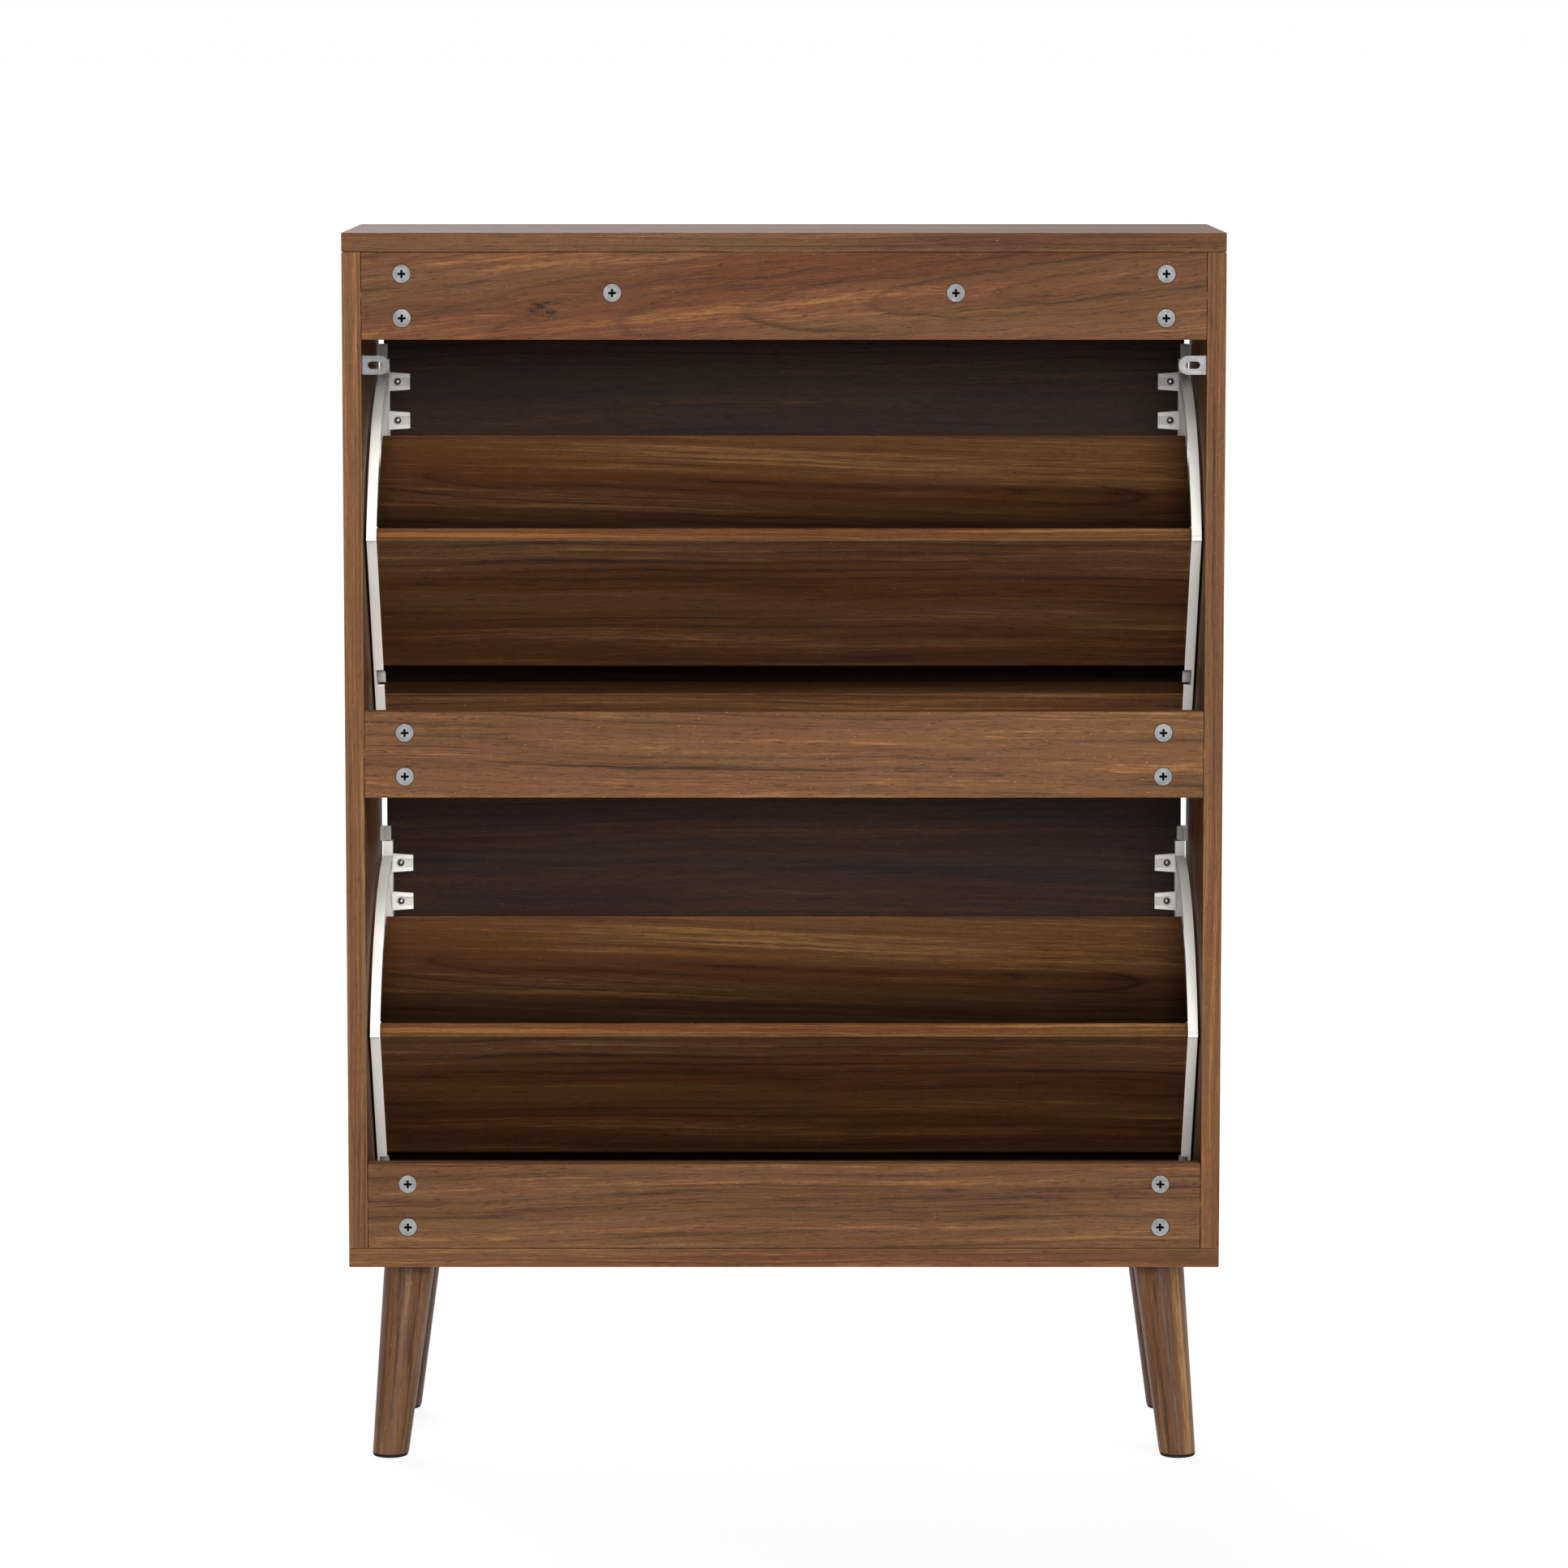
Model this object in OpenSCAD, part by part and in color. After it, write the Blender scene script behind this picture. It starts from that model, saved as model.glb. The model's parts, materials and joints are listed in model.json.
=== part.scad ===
// Shoe cabinet with an open back and two tilt-out drawers on splayed round legs.
// X is the width, the fronts face -Y, the open back faces +Y and Z is up.
// The origin is on the floor under the middle of the cabinet.
// Left and right are as seen from the front, so the left side is at -X.

/* [Carcass] */
// Outside width of the cabinet
cabinet_w = 700; // [600:10:800]
// Outside depth, front edge of the top to the rear plane
cabinet_d = 240; // [240:5:280]
// Height of one drawer unit; there are two, one above the other
unit_h = 400; // [390:5:420]
// Thickness of every veneered board
board_t = 15; // [15:1:18]
// How far the top and bottom panels stand out in front of the sides
front_overhang = 15; // [10:1:20]
// Height of the three rails across the open back
rail_h = 70; // [60:5:80]

/* [Legs] */
// Height of the legs, floor to the underside of the bottom panel
leg_h = 160; // [120:5:200]
// Diameter of a leg where it meets its plate
leg_top_d = 41; // [36:1:44]
// Diameter of a leg at the floor
leg_foot_d = 29; // [26:1:32]
// Sideways lean of a leg from top to foot
leg_splay_x = 16; // [8:1:20]
// Fore and aft lean of a leg from top to foot
leg_splay_y = 19; // [8:1:20]
// Leg centre at the top, in from the end of the cabinet
leg_inset_x = 46.5; // [45:0.5:60]
// Leg centre at the top, in from the front and rear edges
leg_inset_y = 47; // [47:1:55]

/* [Drawers] */
// Gap between a door's end and the side panel
door_side_gap = 5; // [4:0.5:6]
// Gap under a door, which its lower front edge dips into as it opens
door_bottom_gap = 5; // [5:0.5:6]
// Gap over the upper door
door_top_gap = 2; // [2:0.5:3]
// Width of the finger cut-out in a door's top edge
cutout_w = 90; // [80:5:100]
// Depth of the finger cut-out
cutout_depth = 27; // [24:1:30]
// Lean of the rear boards from upright
rack_tilt = 35; // [34:0.5:36]
// Height of the tall rear board
rear_board_h = 132; // [126:1:134]
// How far the tall rear board rises above the shelf
shelf_lip = 44; // [40:1:48]
// How far a drawer tilts out
open_angle = 50; // [30:1:55]

/* [Fittings] */
// Diameter of a cam nut
cam_d = 15; // [14:0.5:15]
// Centre of a cam nut, in from the face that it pulls against
cam_inset = 32.5; // [30:0.5:34]
// Spacing of the two cam nuts at a rail's end
cam_pitch = 35; // [30:1:40]
// Distance between the two middle cam nuts of the top rail
middle_cam_pitch = 272; // [240:4:300]
// Height of a wall bracket
wall_bracket_h = 15; // [14:0.5:16]
// Length of the slot in a wall bracket
slot_l = 11.4; // [10:0.2:12]
// Width of the slot in a wall bracket
slot_w = 5.7; // [5:0.1:6]

/* [Hidden] */

$fn = 64;
// Small overshoot that keeps a cut clear of the face it starts from
cut = 1;
// Gap round a part that is pressed or screwed into its hole
fit_gap = 0.05;

WALNUT = "#7c5538";
WALNUT_DARK = "#6a4630";
PLASTIC = "#cdc8c2";
ZINC = "#a5a6a8";
BLACK = "#1d1c1b";

// ---- carcass ----
LOWER = 0;
UPPER = 1;
side_h = 2 * unit_h;
inner_w = cabinet_w - 2 * board_t;
side_d = cabinet_d - front_overhang;
rear_y = cabinet_d / 2;
side_front_y = rear_y - side_d;
side_mid_x = (inner_w + board_t) / 2;
floor_z = leg_h + board_t;
ceiling_z = floor_z + side_h;
rail_mid_y = rear_y - board_t / 2;
rail_floors = [floor_z, floor_z + unit_h - rail_h / 2, ceiling_z - rail_h];

// ---- knock-down fittings ----
cam_depth = 12.5;
bolt_head_r = 3.3;
bolt_neck_r = 2;
bolt_thread_r = 2.9;
bolt_head_l = 3;
bolt_neck_l = 4;
bolt_thread_l = 10.5;
bolt_channel_r = 4;
dowel_r = 4;
dowel_in_panel = 10;
dowel_in_end = 20;
hole_spare = 0.5;
side_cam_y = [-70, 70];
side_dowel_y = [-35, 35];
recess_l = 5.4;
recess_w = 1.3;
recess_depth = 2.5;

// ---- screws ----
shank_r = 1.4;
pilot_r = 1.5;
screw_head_r = 2.8;
screw_head_t = 2;
flat_head_r = 2.6;
flat_head_t = 1.2;
screw_recess_l = 3.4;
screw_recess_w = 0.8;

// ---- legs ----
leg_top_x = cabinet_w / 2 - leg_inset_x;
leg_top_y = cabinet_d / 2 - leg_inset_y;
leg_tilt = atan(norm([leg_splay_x, leg_splay_y]) / leg_h);
leg_axis_l = leg_h / cos(leg_tilt);
leg_spare = 10;
plate_t = 2;
plate_side = 48;
plate_chamfer = 5;
plate_screw_offset = 18.5;
plate_screw_l = 11;
glide_t = 2;
glide_r = 13.5;
nail_r = 1.2;
nail_l = 12;
hanger_r = 4;
hanger_in_leg = 45;
hanger_above = 7;
hanger_clear_r = 6.5;
hanger_clear_depth = 10;
plate_hole_r = 4.7;

// ---- wall brackets ----
strap_t = 1.8;
strap_reach = 22.5;
strap_leg_l = 28;
slot_from_side = 11.2;
wall_bracket_drop = 89.6;
wall_screw_y = [7, 19];
wall_screw_l = 11;

// ---- drawers, measured back from a door's rear face and up from its unit's floor ----
door_back_y = side_front_y + board_t;
door_w = inner_w - 2 * door_side_gap;
door_h = unit_h - door_bottom_gap - door_top_gap;
cutout_r = (pow(cutout_w / 2, 2) + pow(cutout_depth, 2)) / (2 * cutout_depth);
pivot_back = 5;
pivot_up = 46.5;
rack_top_back = 189;
rack_top_up = 170;
toe_board_from = 162;
toe_board_to = 201;
toe_shelf_from = 182;
rack_floor = 5;
bracket_outer_x = inner_w / 2 - 2.15;
bracket_w = 7.85;
bracket_inner_x = bracket_outer_x - bracket_w;
web_t = 2;
board_end_gap = 0.3;
board_end_x = bracket_outer_x - web_t - board_end_gap;
lip_t = 2;
lip_over = 3;
rim_t = 2.5;
rim_r = 216.5;
rim_centre_up = 77;
post_d = 9;
post_top = 305.4;
post_foot = 288;
channel_top = 6;
toe_channel_from = 152;
big = 500;

// ---- bracket tabs ----
tab_ups = [120.5, 152.5, 254.5, 286.5];
tab_reach = 16.5;
tab_root_h = 15.5;
tab_tip_h = 13;
tab_t = 4;
tab_floor_t = 2;
tab_screw_in = 10;
tab_seat_r = 4;
tab_channel_w = 7.2;
tab_screw_l = 10;

// ---- shelf screws, measured forward from the rear boards ----
shelf_screw_n = [45, 150];
toe_shelf_screw_n = [50];
shelf_screw_in = 3;

// ---- pivots ----
pin_r = 3;
pin_inset = 10;
pin_reach = 10.4;
boss_r = 9;
bush_r = 6;
bush_l = 11.5;
bush_bore_gap = 0.05;
bush_floor = 1.5;
pivot_plate_t = 1.5;
pivot_plate_r = 19;
pivot_plate_front = 9;
lug_orbit = 14;
lug_angle = 10;
lug_r = 2;
lug_l = 1.5;
lug_play = 0.5;
lug_end_play = asin((lug_r + lug_play) / lug_orbit);
plate_screw_angles = [145, 265];
pivot_screw_l = 10;

// ---- door stops ----
stop_gap = 0.3;
stop_up = 306.2;
stop_h = 11.5;
stop_base_d = 13;
stop_base_w = 3.5;
stop_nose_d = 7;
stop_nose_w = 8.5;
stop_screw_back = 10.3;
stop_screw_l = 9;

function unit_floor(unit) = floor_z + unit * unit_h;
function rail_mid_z(rail) = rail_floors[rail] + rail_h / 2;
// Depth of a shelf, from a rear board's front face to the door, at its under edge
function shelf_end(under) = (rack_top_back - under * sin(rack_tilt)) / cos(rack_tilt);

// A cylinder between two points on a line along X
module x_rod(x0, x1, r) {
    translate([x0, 0, 0])
        rotate([0, 90, 0])
            cylinder(h = x1 - x0, r = r);
}

// Extrudes a (Y, Z) outline along X
module along_x(x0, x1) {
    translate([x0, 0, 0])
        rotate([90, 0, 90])
            linear_extrude(x1 - x0)
                children();
}

module on_side(side) {
    if (side < 0) mirror([1, 0, 0]) children();
    else children();
}

module in_unit(unit) {
    translate([0, door_back_y, unit_floor(unit)]) children();
}

// Frame of the leaning rear boards: Y is square to them, Z runs up along them
module in_rack() {
    translate([0, rack_top_back, rack_top_up])
        rotate([-rack_tilt, 0, 0])
            children();
}

// The same frame for a flat (Y, Z) outline
module in_rack_outline() {
    translate([rack_top_back, rack_top_up])
        rotate(-rack_tilt)
            children();
}

module cross_recess(length, width, depth) {
    for (turn = [0, 90])
        rotate(turn)
            translate([-length / 2, -width / 2, -depth])
                cube([length, width, depth + cut]);
}

// Pan-head screw, head above Z = 0 and shank below
module pan_screw(length) {
    difference() {
        union() {
            cylinder(h = screw_head_t, r = screw_head_r);
            translate([0, 0, -length]) cylinder(h = length + cut, r = shank_r);
        }
        translate([0, 0, screw_head_t])
            cross_recess(screw_recess_l, screw_recess_w, screw_head_t / 2);
    }
}

// Countersunk screw, head flush with Z = 0
module flat_screw(length) {
    difference() {
        union() {
            translate([0, 0, -flat_head_t])
                cylinder(h = flat_head_t, r1 = shank_r, r2 = flat_head_r);
            translate([0, 0, -length])
                cylinder(h = length - flat_head_t + fit_gap, r = shank_r);
        }
        cross_recess(screw_recess_l, screw_recess_w, flat_head_t / 2);
    }
}

module flat_screw_hole(depth) {
    translate([0, 0, -flat_head_t])
        cylinder(h = flat_head_t, r1 = shank_r + fit_gap, r2 = flat_head_r + fit_gap);
    translate([0, 0, -fit_gap]) cylinder(h = cut, r = flat_head_r + fit_gap);
    translate([0, 0, -depth]) cylinder(h = depth, r = pilot_r);
}

// ---- cam fittings: the nut's face is Z = 0 and the bolt enters it along +X ----
module cam_nut() {
    difference() {
        translate([0, 0, -cam_depth + fit_gap])
            cylinder(h = cam_depth - fit_gap, r = cam_d / 2 - fit_gap);
        translate([0, 0, -board_t / 2])
            x_rod(-bolt_channel_r, cam_d, bolt_head_r + hole_spare);
        cross_recess(recess_l, recess_w, recess_depth);
    }
}

module cam_bolt() {
    shaft_from = bolt_head_l + bolt_neck_l;
    translate([0, 0, -board_t / 2]) {
        x_rod(0, bolt_head_l, bolt_head_r);
        x_rod(bolt_head_l, shaft_from, bolt_neck_r);
        x_rod(shaft_from, cam_inset, bolt_head_r);
        x_rod(cam_inset, cam_inset + bolt_thread_l, bolt_thread_r);
    }
}

// The bores that a cam fitting needs in the board that holds the nut
module cam_bores() {
    translate([0, 0, -cam_depth]) cylinder(h = cam_depth + cut, r = cam_d / 2);
    translate([0, 0, -board_t / 2]) x_rod(0, cam_inset + cut, bolt_channel_r);
}

// Places a cam fitting in a rail's rear face, pulling on the side panel
module at_rail_end_cams() {
    for (side = [-1, 1], rail = [0:2], row = [-1, 1])
        on_side(side)
            translate([inner_w / 2 - cam_inset, rear_y, rail_mid_z(rail) + row * cam_pitch / 2])
                rotate([-90, 0, 0])
                    children();
}

// The top rail's two middle fittings pull on the top panel
module at_middle_cams() {
    for (side = [-1, 1])
        translate([side * middle_cam_pitch / 2, rear_y, ceiling_z - cam_inset])
            rotate([-90, 0, 0])
                rotate(-90)
                    children();
}

// The side panels' fittings pull on the top and bottom panels
module at_side_cams() {
    for (side = [-1, 1], y = side_cam_y) {
        on_side(side)
            translate([inner_w / 2, y, ceiling_z - cam_inset])
                rotate([0, -90, 0])
                    children();
        on_side(side)
            translate([inner_w / 2, y, floor_z + cam_inset])
                rotate([0, -90, 0])
                    rotate(180)
                        children();
    }
}

module rail_cam_nuts() {
    color(ZINC) {
        at_rail_end_cams() cam_nut();
        at_middle_cams() cam_nut();
    }
}

module rail_cam_bolts() {
    color(ZINC) {
        at_rail_end_cams() cam_bolt();
        at_middle_cams() cam_bolt();
    }
}

module side_cam_nuts() {
    color(ZINC) at_side_cams() cam_nut();
}

module side_cam_bolts() {
    color(ZINC) at_side_cams() cam_bolt();
}

// Dowels between rails and sides, and between sides and the top and bottom panels;
// spare is 0 for the dowels and more for their holes
module dowel_shapes(gap, spare) {
    radius = dowel_r - gap;
    for (side = [-1, 1], rail = [0:2])
        on_side(side)
            translate([0, rail_mid_y, rail_mid_z(rail)])
                x_rod(inner_w / 2 - dowel_in_end - spare, inner_w / 2 + dowel_in_panel + spare, radius);
    for (side = [-1, 1], y = side_dowel_y) {
        translate([side * side_mid_x, y, ceiling_z - dowel_in_end - spare])
            cylinder(h = dowel_in_end + dowel_in_panel + 2 * spare, r = radius);
        translate([side * side_mid_x, y, floor_z - dowel_in_panel - spare])
            cylinder(h = dowel_in_end + dowel_in_panel + 2 * spare, r = radius);
    }
}

module wood_dowels() {
    color("#c9a878") dowel_shapes(fit_gap, 0);
}

// The holes that the cam bolts' threads make in the panel that they screw into
module bolt_thread_hole() {
    translate([0, 0, -board_t / 2])
        x_rod(cam_inset - cut, cam_inset + bolt_thread_l + hole_spare, bolt_thread_r + fit_gap);
}

// ---- panels and rails ----
module top_panel() {
    color(WALNUT)
        difference() {
            translate([-cabinet_w / 2, -cabinet_d / 2, ceiling_z])
                cube([cabinet_w, cabinet_d, board_t]);
            at_side_cams() bolt_thread_hole();
            at_middle_cams() bolt_thread_hole();
            dowel_shapes(0, hole_spare);
        }
}

module bottom_panel() {
    color(WALNUT)
        difference() {
            translate([-cabinet_w / 2, -cabinet_d / 2, leg_h])
                cube([cabinet_w, cabinet_d, board_t]);
            at_side_cams() bolt_thread_hole();
            dowel_shapes(0, hole_spare);
            for (x = [-leg_top_x, leg_top_x], y = [-leg_top_y, leg_top_y])
                translate([x, y, leg_h]) {
                    translate([0, 0, -cut])
                        cylinder(h = hanger_clear_depth + cut, r = hanger_clear_r);
                    at_plate_screws()
                        translate([0, 0, -plate_t])
                            cylinder(h = plate_screw_l, r = pilot_r);
                }
        }
}

module side_panel(side) {
    color(WALNUT)
        difference() {
            on_side(side)
                translate([inner_w / 2, side_front_y, floor_z])
                    cube([board_t, side_d, side_h]);
            at_side_cams() cam_bores();
            at_rail_end_cams() bolt_thread_hole();
            dowel_shapes(0, hole_spare);
            on_side(side) {
                for (unit = [LOWER, UPPER])
                    in_unit(unit) {
                        translate([0, pivot_back, pivot_up])
                            x_rod(inner_w / 2 - cut, inner_w / 2 + bush_l + hole_spare, bush_r + fit_gap);
                        at_pivot_screws() screw_pilot(pivot_screw_l);
                        at_stop_screw() screw_pilot(stop_screw_l);
                    }
                at_wall_screws() screw_pilot(wall_screw_l);
            }
        }
}

module left_side_panel() {
    side_panel(-1);
}

module right_side_panel() {
    side_panel(1);
}

module screw_pilot(length) {
    translate([0, 0, -length - hole_spare])
        cylinder(h = length + hole_spare + cut, r = pilot_r);
}

module back_rail(rail) {
    color(WALNUT)
        difference() {
            translate([-inner_w / 2, rear_y - board_t, rail_floors[rail]])
                cube([inner_w, board_t, rail_h]);
            at_rail_end_cams() cam_bores();
            at_middle_cams() cam_bores();
            dowel_shapes(0, hole_spare);
        }
}

module bottom_back_rail() {
    back_rail(0);
}

module middle_back_rail() {
    back_rail(1);
}

module top_back_rail() {
    back_rail(2);
}

// ---- legs ----
// Frame of one leg: Z runs up its axis from the middle of its foot
module along_leg(side, end) {
    translate([side * (leg_top_x + leg_splay_x), end * (leg_top_y + leg_splay_y), 0])
        rotate([leg_tilt, 0, atan2(-side * leg_splay_x, end * leg_splay_y)])
            children();
}

module leg(side, end) {
    flare = (leg_top_d - leg_foot_d) / 2 * leg_spare / leg_axis_l;
    color(WALNUT_DARK)
        difference() {
            intersection() {
                along_leg(side, end)
                    translate([0, 0, -leg_spare])
                        cylinder(
                            h = leg_axis_l + 2 * leg_spare,
                            r1 = leg_foot_d / 2 - flare,
                            r2 = leg_top_d / 2 + flare
                        );
                translate([side * leg_top_x - 2 * plate_side, end * leg_top_y - 2 * plate_side, glide_t])
                    cube([4 * plate_side, 4 * plate_side, leg_h - plate_t - glide_t]);
            }
            along_leg(side, end)
                translate([0, 0, leg_axis_l - hanger_in_leg - hole_spare])
                    cylinder(h = hanger_in_leg + leg_spare, r = hanger_r + fit_gap);
            translate([side * (leg_top_x + leg_splay_x), end * (leg_top_y + leg_splay_y), 0])
                cylinder(h = glide_t + nail_l + hole_spare, r = nail_r + fit_gap);
        }
}

module front_left_leg() {
    leg(-1, -1);
}

module front_right_leg() {
    leg(1, -1);
}

module rear_left_leg() {
    leg(-1, 1);
}

module rear_right_leg() {
    leg(1, 1);
}

module at_plate_screws() {
    for (x = [-plate_screw_offset, plate_screw_offset], y = [-plate_screw_offset, plate_screw_offset])
        translate([x, y, 0]) children();
}

module leg_plate(side, end) {
    edge = plate_side / 2;
    corner = edge - plate_chamfer;
    outline = [
        [edge, corner], [corner, edge], [-corner, edge], [-edge, corner],
        [-edge, -corner], [-corner, -edge], [corner, -edge], [edge, -corner]
    ];
    color(BLACK)
        translate([side * leg_top_x, end * leg_top_y, leg_h - plate_t])
            difference() {
                linear_extrude(plate_t) polygon(outline);
                translate([0, 0, -cut]) cylinder(h = plate_t + 2 * cut, r = plate_hole_r);
                at_plate_screws() rotate([180, 0, 0]) flat_screw_hole(plate_t + cut);
            }
}

module front_left_leg_plate() {
    leg_plate(-1, -1);
}

module front_right_leg_plate() {
    leg_plate(1, -1);
}

module rear_left_leg_plate() {
    leg_plate(-1, 1);
}

module rear_right_leg_plate() {
    leg_plate(1, 1);
}

module leg_plate_screws() {
    color(ZINC)
        for (x = [-leg_top_x, leg_top_x], y = [-leg_top_y, leg_top_y])
            translate([x, y, leg_h - plate_t])
                at_plate_screws()
                    rotate([180, 0, 0])
                        flat_screw(plate_screw_l);
}

module leg_hanger_bolts() {
    color(ZINC)
        for (side = [-1, 1], end = [-1, 1])
            along_leg(side, end)
                translate([0, 0, leg_axis_l - hanger_in_leg])
                    cylinder(h = hanger_in_leg + hanger_above, r = hanger_r);
}

module foot_glide(side, end) {
    color(BLACK)
        translate([side * (leg_top_x + leg_splay_x), end * (leg_top_y + leg_splay_y), 0]) {
            cylinder(h = glide_t, r = glide_r);
            cylinder(h = glide_t + nail_l, r = nail_r);
        }
}

module front_left_foot_glide() {
    foot_glide(-1, -1);
}

module front_right_foot_glide() {
    foot_glide(1, -1);
}

module rear_left_foot_glide() {
    foot_glide(-1, 1);
}

module rear_right_foot_glide() {
    foot_glide(1, 1);
}

// ---- wall brackets ----
// Rounded strap in X and Z, lying back from Y = 0, with its root end at X = 0
module strap(length) {
    radius = wall_bracket_h / 2;
    rotate([90, 0, 0]) {
        translate([0, -radius, 0]) cube([length - radius, wall_bracket_h, strap_t]);
        translate([length - radius, 0, 0]) cylinder(h = strap_t, r = radius);
    }
}

module at_wall_bracket() {
    translate([inner_w / 2, rear_y, ceiling_z - wall_bracket_drop]) children();
}

// Screws through the bracket's leg, their heads facing the middle of the cabinet
module at_wall_screws() {
    at_wall_bracket()
        for (y = wall_screw_y)
            translate([-strap_t, -y - strap_t, 0])
                rotate([0, -90, 0])
                    children();
}

module wall_bracket(side) {
    end_offset = (slot_l - slot_w) / 2;
    color(ZINC)
        on_side(side)
            difference() {
                at_wall_bracket() {
                    rotate([0, 180, 0]) strap(strap_reach);
                    rotate([0, 0, -90]) strap(strap_leg_l);
                }
                at_wall_bracket()
                    translate([-slot_from_side, cut, 0])
                        rotate([90, 0, 0]) {
                            for (x = [-end_offset, end_offset])
                                translate([x, 0, 0]) cylinder(h = strap_t + 2 * cut, r = slot_w / 2);
                            translate([-end_offset, -slot_w / 2, 0])
                                cube([2 * end_offset, slot_w, strap_t + 2 * cut]);
                        }
                at_wall_screws()
                    translate([0, 0, -strap_t - cut])
                        cylinder(h = strap_t + 2 * cut, r = pilot_r);
            }
}

module left_wall_bracket() {
    wall_bracket(-1);
}

module right_wall_bracket() {
    wall_bracket(1);
}

module wall_bracket_screws() {
    color(ZINC)
        for (side = [-1, 1])
            on_side(side)
                at_wall_screws()
                    pan_screw(wall_screw_l);
}

// ---- pivots ----
module lug_at(angle) {
    translate([0, pivot_back + lug_orbit * cos(angle), pivot_up + lug_orbit * sin(angle)])
        children();
}

module at_pivot_screws() {
    for (angle = plate_screw_angles)
        lug_at(angle)
            translate([inner_w / 2 - pivot_plate_t, 0, 0])
                rotate([0, -90, 0])
                    children();
}

// Slot that a bracket's stop lug swings in
module lug_slot() {
    from = lug_angle - lug_end_play;
    to = lug_angle + open_angle + lug_end_play;
    inner = lug_orbit - lug_r - lug_play;
    outer = lug_orbit + lug_r + lug_play;
    steps = 12;
    function on_arc(radius, part) =
        radius * [cos(from + (to - from) * part / steps), sin(from + (to - from) * part / steps)];
    polygon([
        for (part = [0:steps]) on_arc(outer, part),
        for (part = [steps:-1:0]) on_arc(inner, part)
    ]);
}

module pivot_plate(side, unit) {
    face_x = inner_w / 2 - pivot_plate_t;
    color(PLASTIC)
        on_side(side)
            in_unit(unit)
                difference() {
                    union() {
                        along_x(face_x, inner_w / 2)
                            translate([pivot_back, pivot_up])
                                difference() {
                                    intersection() {
                                        circle(r = pivot_plate_r);
                                        translate([-pivot_back - pivot_plate_front, -big / 2])
                                            square(big);
                                    }
                                    lug_slot();
                                }
                        translate([0, pivot_back, pivot_up])
                            x_rod(inner_w / 2 - cut, inner_w / 2 + bush_l, bush_r);
                    }
                    translate([0, pivot_back, pivot_up])
                        x_rod(face_x - cut, inner_w / 2 + bush_l - bush_floor, pin_r + bush_bore_gap);
                    at_pivot_screws() flat_screw_hole(pivot_plate_t + cut);
                }
}

module upper_left_pivot_plate() {
    pivot_plate(-1, UPPER);
}

module upper_right_pivot_plate() {
    pivot_plate(1, UPPER);
}

module lower_left_pivot_plate() {
    pivot_plate(-1, LOWER);
}

module lower_right_pivot_plate() {
    pivot_plate(1, LOWER);
}

module pivot_plate_screws() {
    color(ZINC)
        for (side = [-1, 1], unit = [LOWER, UPPER])
            on_side(side)
                in_unit(unit)
                    at_pivot_screws()
                        flat_screw(pivot_screw_l);
}

// ---- door stops ----
module at_stop_screw() {
    translate([inner_w / 2 - stop_base_w, stop_screw_back, stop_up + stop_h / 2])
        rotate([0, -90, 0])
            children();
}

module door_stop(side, unit) {
    color(PLASTIC)
        on_side(side)
            in_unit(unit)
                difference() {
                    translate([inner_w / 2, stop_gap, stop_up]) {
                        translate([-stop_base_w, 0, 0]) cube([stop_base_w, stop_base_d, stop_h]);
                        translate([-stop_nose_w, 0, 0]) cube([stop_nose_w, stop_nose_d, stop_h]);
                    }
                    at_stop_screw() flat_screw_hole(stop_base_w + cut);
                }
}

module upper_left_door_stop() {
    door_stop(-1, UPPER);
}

module upper_right_door_stop() {
    door_stop(1, UPPER);
}

module lower_left_door_stop() {
    door_stop(-1, LOWER);
}

module lower_right_door_stop() {
    door_stop(1, LOWER);
}

module door_stop_screws() {
    color(ZINC)
        for (side = [-1, 1], unit = [LOWER, UPPER])
            on_side(side)
                in_unit(unit)
                    at_stop_screw()
                        flat_screw(stop_screw_l);
}

// ---- drawers ----
// Screws through the bracket tabs, their heads facing the rear
module at_tab_screws() {
    for (side = [-1, 1], up = tab_ups)
        on_side(side)
            translate([bracket_inner_x - tab_reach + tab_screw_in, tab_floor_t, up])
                rotate([-90, 0, 0])
                    children();
}

// Screws up through a bracket's ledges into the shelves
module at_ledge_screws() {
    for (side = [-1, 1])
        on_side(side)
            in_rack() {
                for (n = shelf_screw_n)
                    translate([bracket_inner_x + shelf_screw_in, -n, -shelf_lip - board_t - rim_t])
                        rotate([180, 0, 0])
                            children();
                for (n = toe_shelf_screw_n)
                    translate([bracket_inner_x + shelf_screw_in, -n, -toe_shelf_from - board_t - rim_t])
                        rotate([180, 0, 0])
                            children();
            }
}

module door(unit) {
    color(WALNUT_DARK)
        in_unit(unit)
            difference() {
                translate([-door_w / 2, -board_t, door_bottom_gap])
                    cube([door_w, board_t, door_h]);
                translate([0, cut, door_bottom_gap + door_h - cutout_depth + cutout_r])
                    rotate([90, 0, 0])
                        cylinder(h = board_t + 2 * cut, r = cutout_r, $fn = 128);
                at_tab_screws() screw_pilot(tab_screw_l);
            }
}

module rack_board(unit, n0, n1, u0, u1) {
    color(WALNUT)
        in_unit(unit)
            difference() {
                in_rack()
                    translate([-board_end_x, -n1, -u1])
                        cube([2 * board_end_x, n1 - n0, u1 - u0]);
                at_ledge_screws() screw_pilot(board_t - rim_t);
            }
}

module shelf(unit) {
    under = shelf_lip + board_t;
    rack_board(unit, board_t, shelf_end(under) - board_end_gap, shelf_lip, under);
}

module toe_shelf(unit) {
    under = toe_shelf_from + board_t;
    rack_board(unit, board_t, shelf_end(under) - board_end_gap, toe_shelf_from, under);
}

module rear_board(unit) {
    rack_board(unit, 0, board_t, 0, rear_board_h);
}

module toe_board(unit) {
    rack_board(unit, 0, board_t, toe_board_from, toe_board_to);
}

module upper_door() {
    door(UPPER);
}

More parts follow.
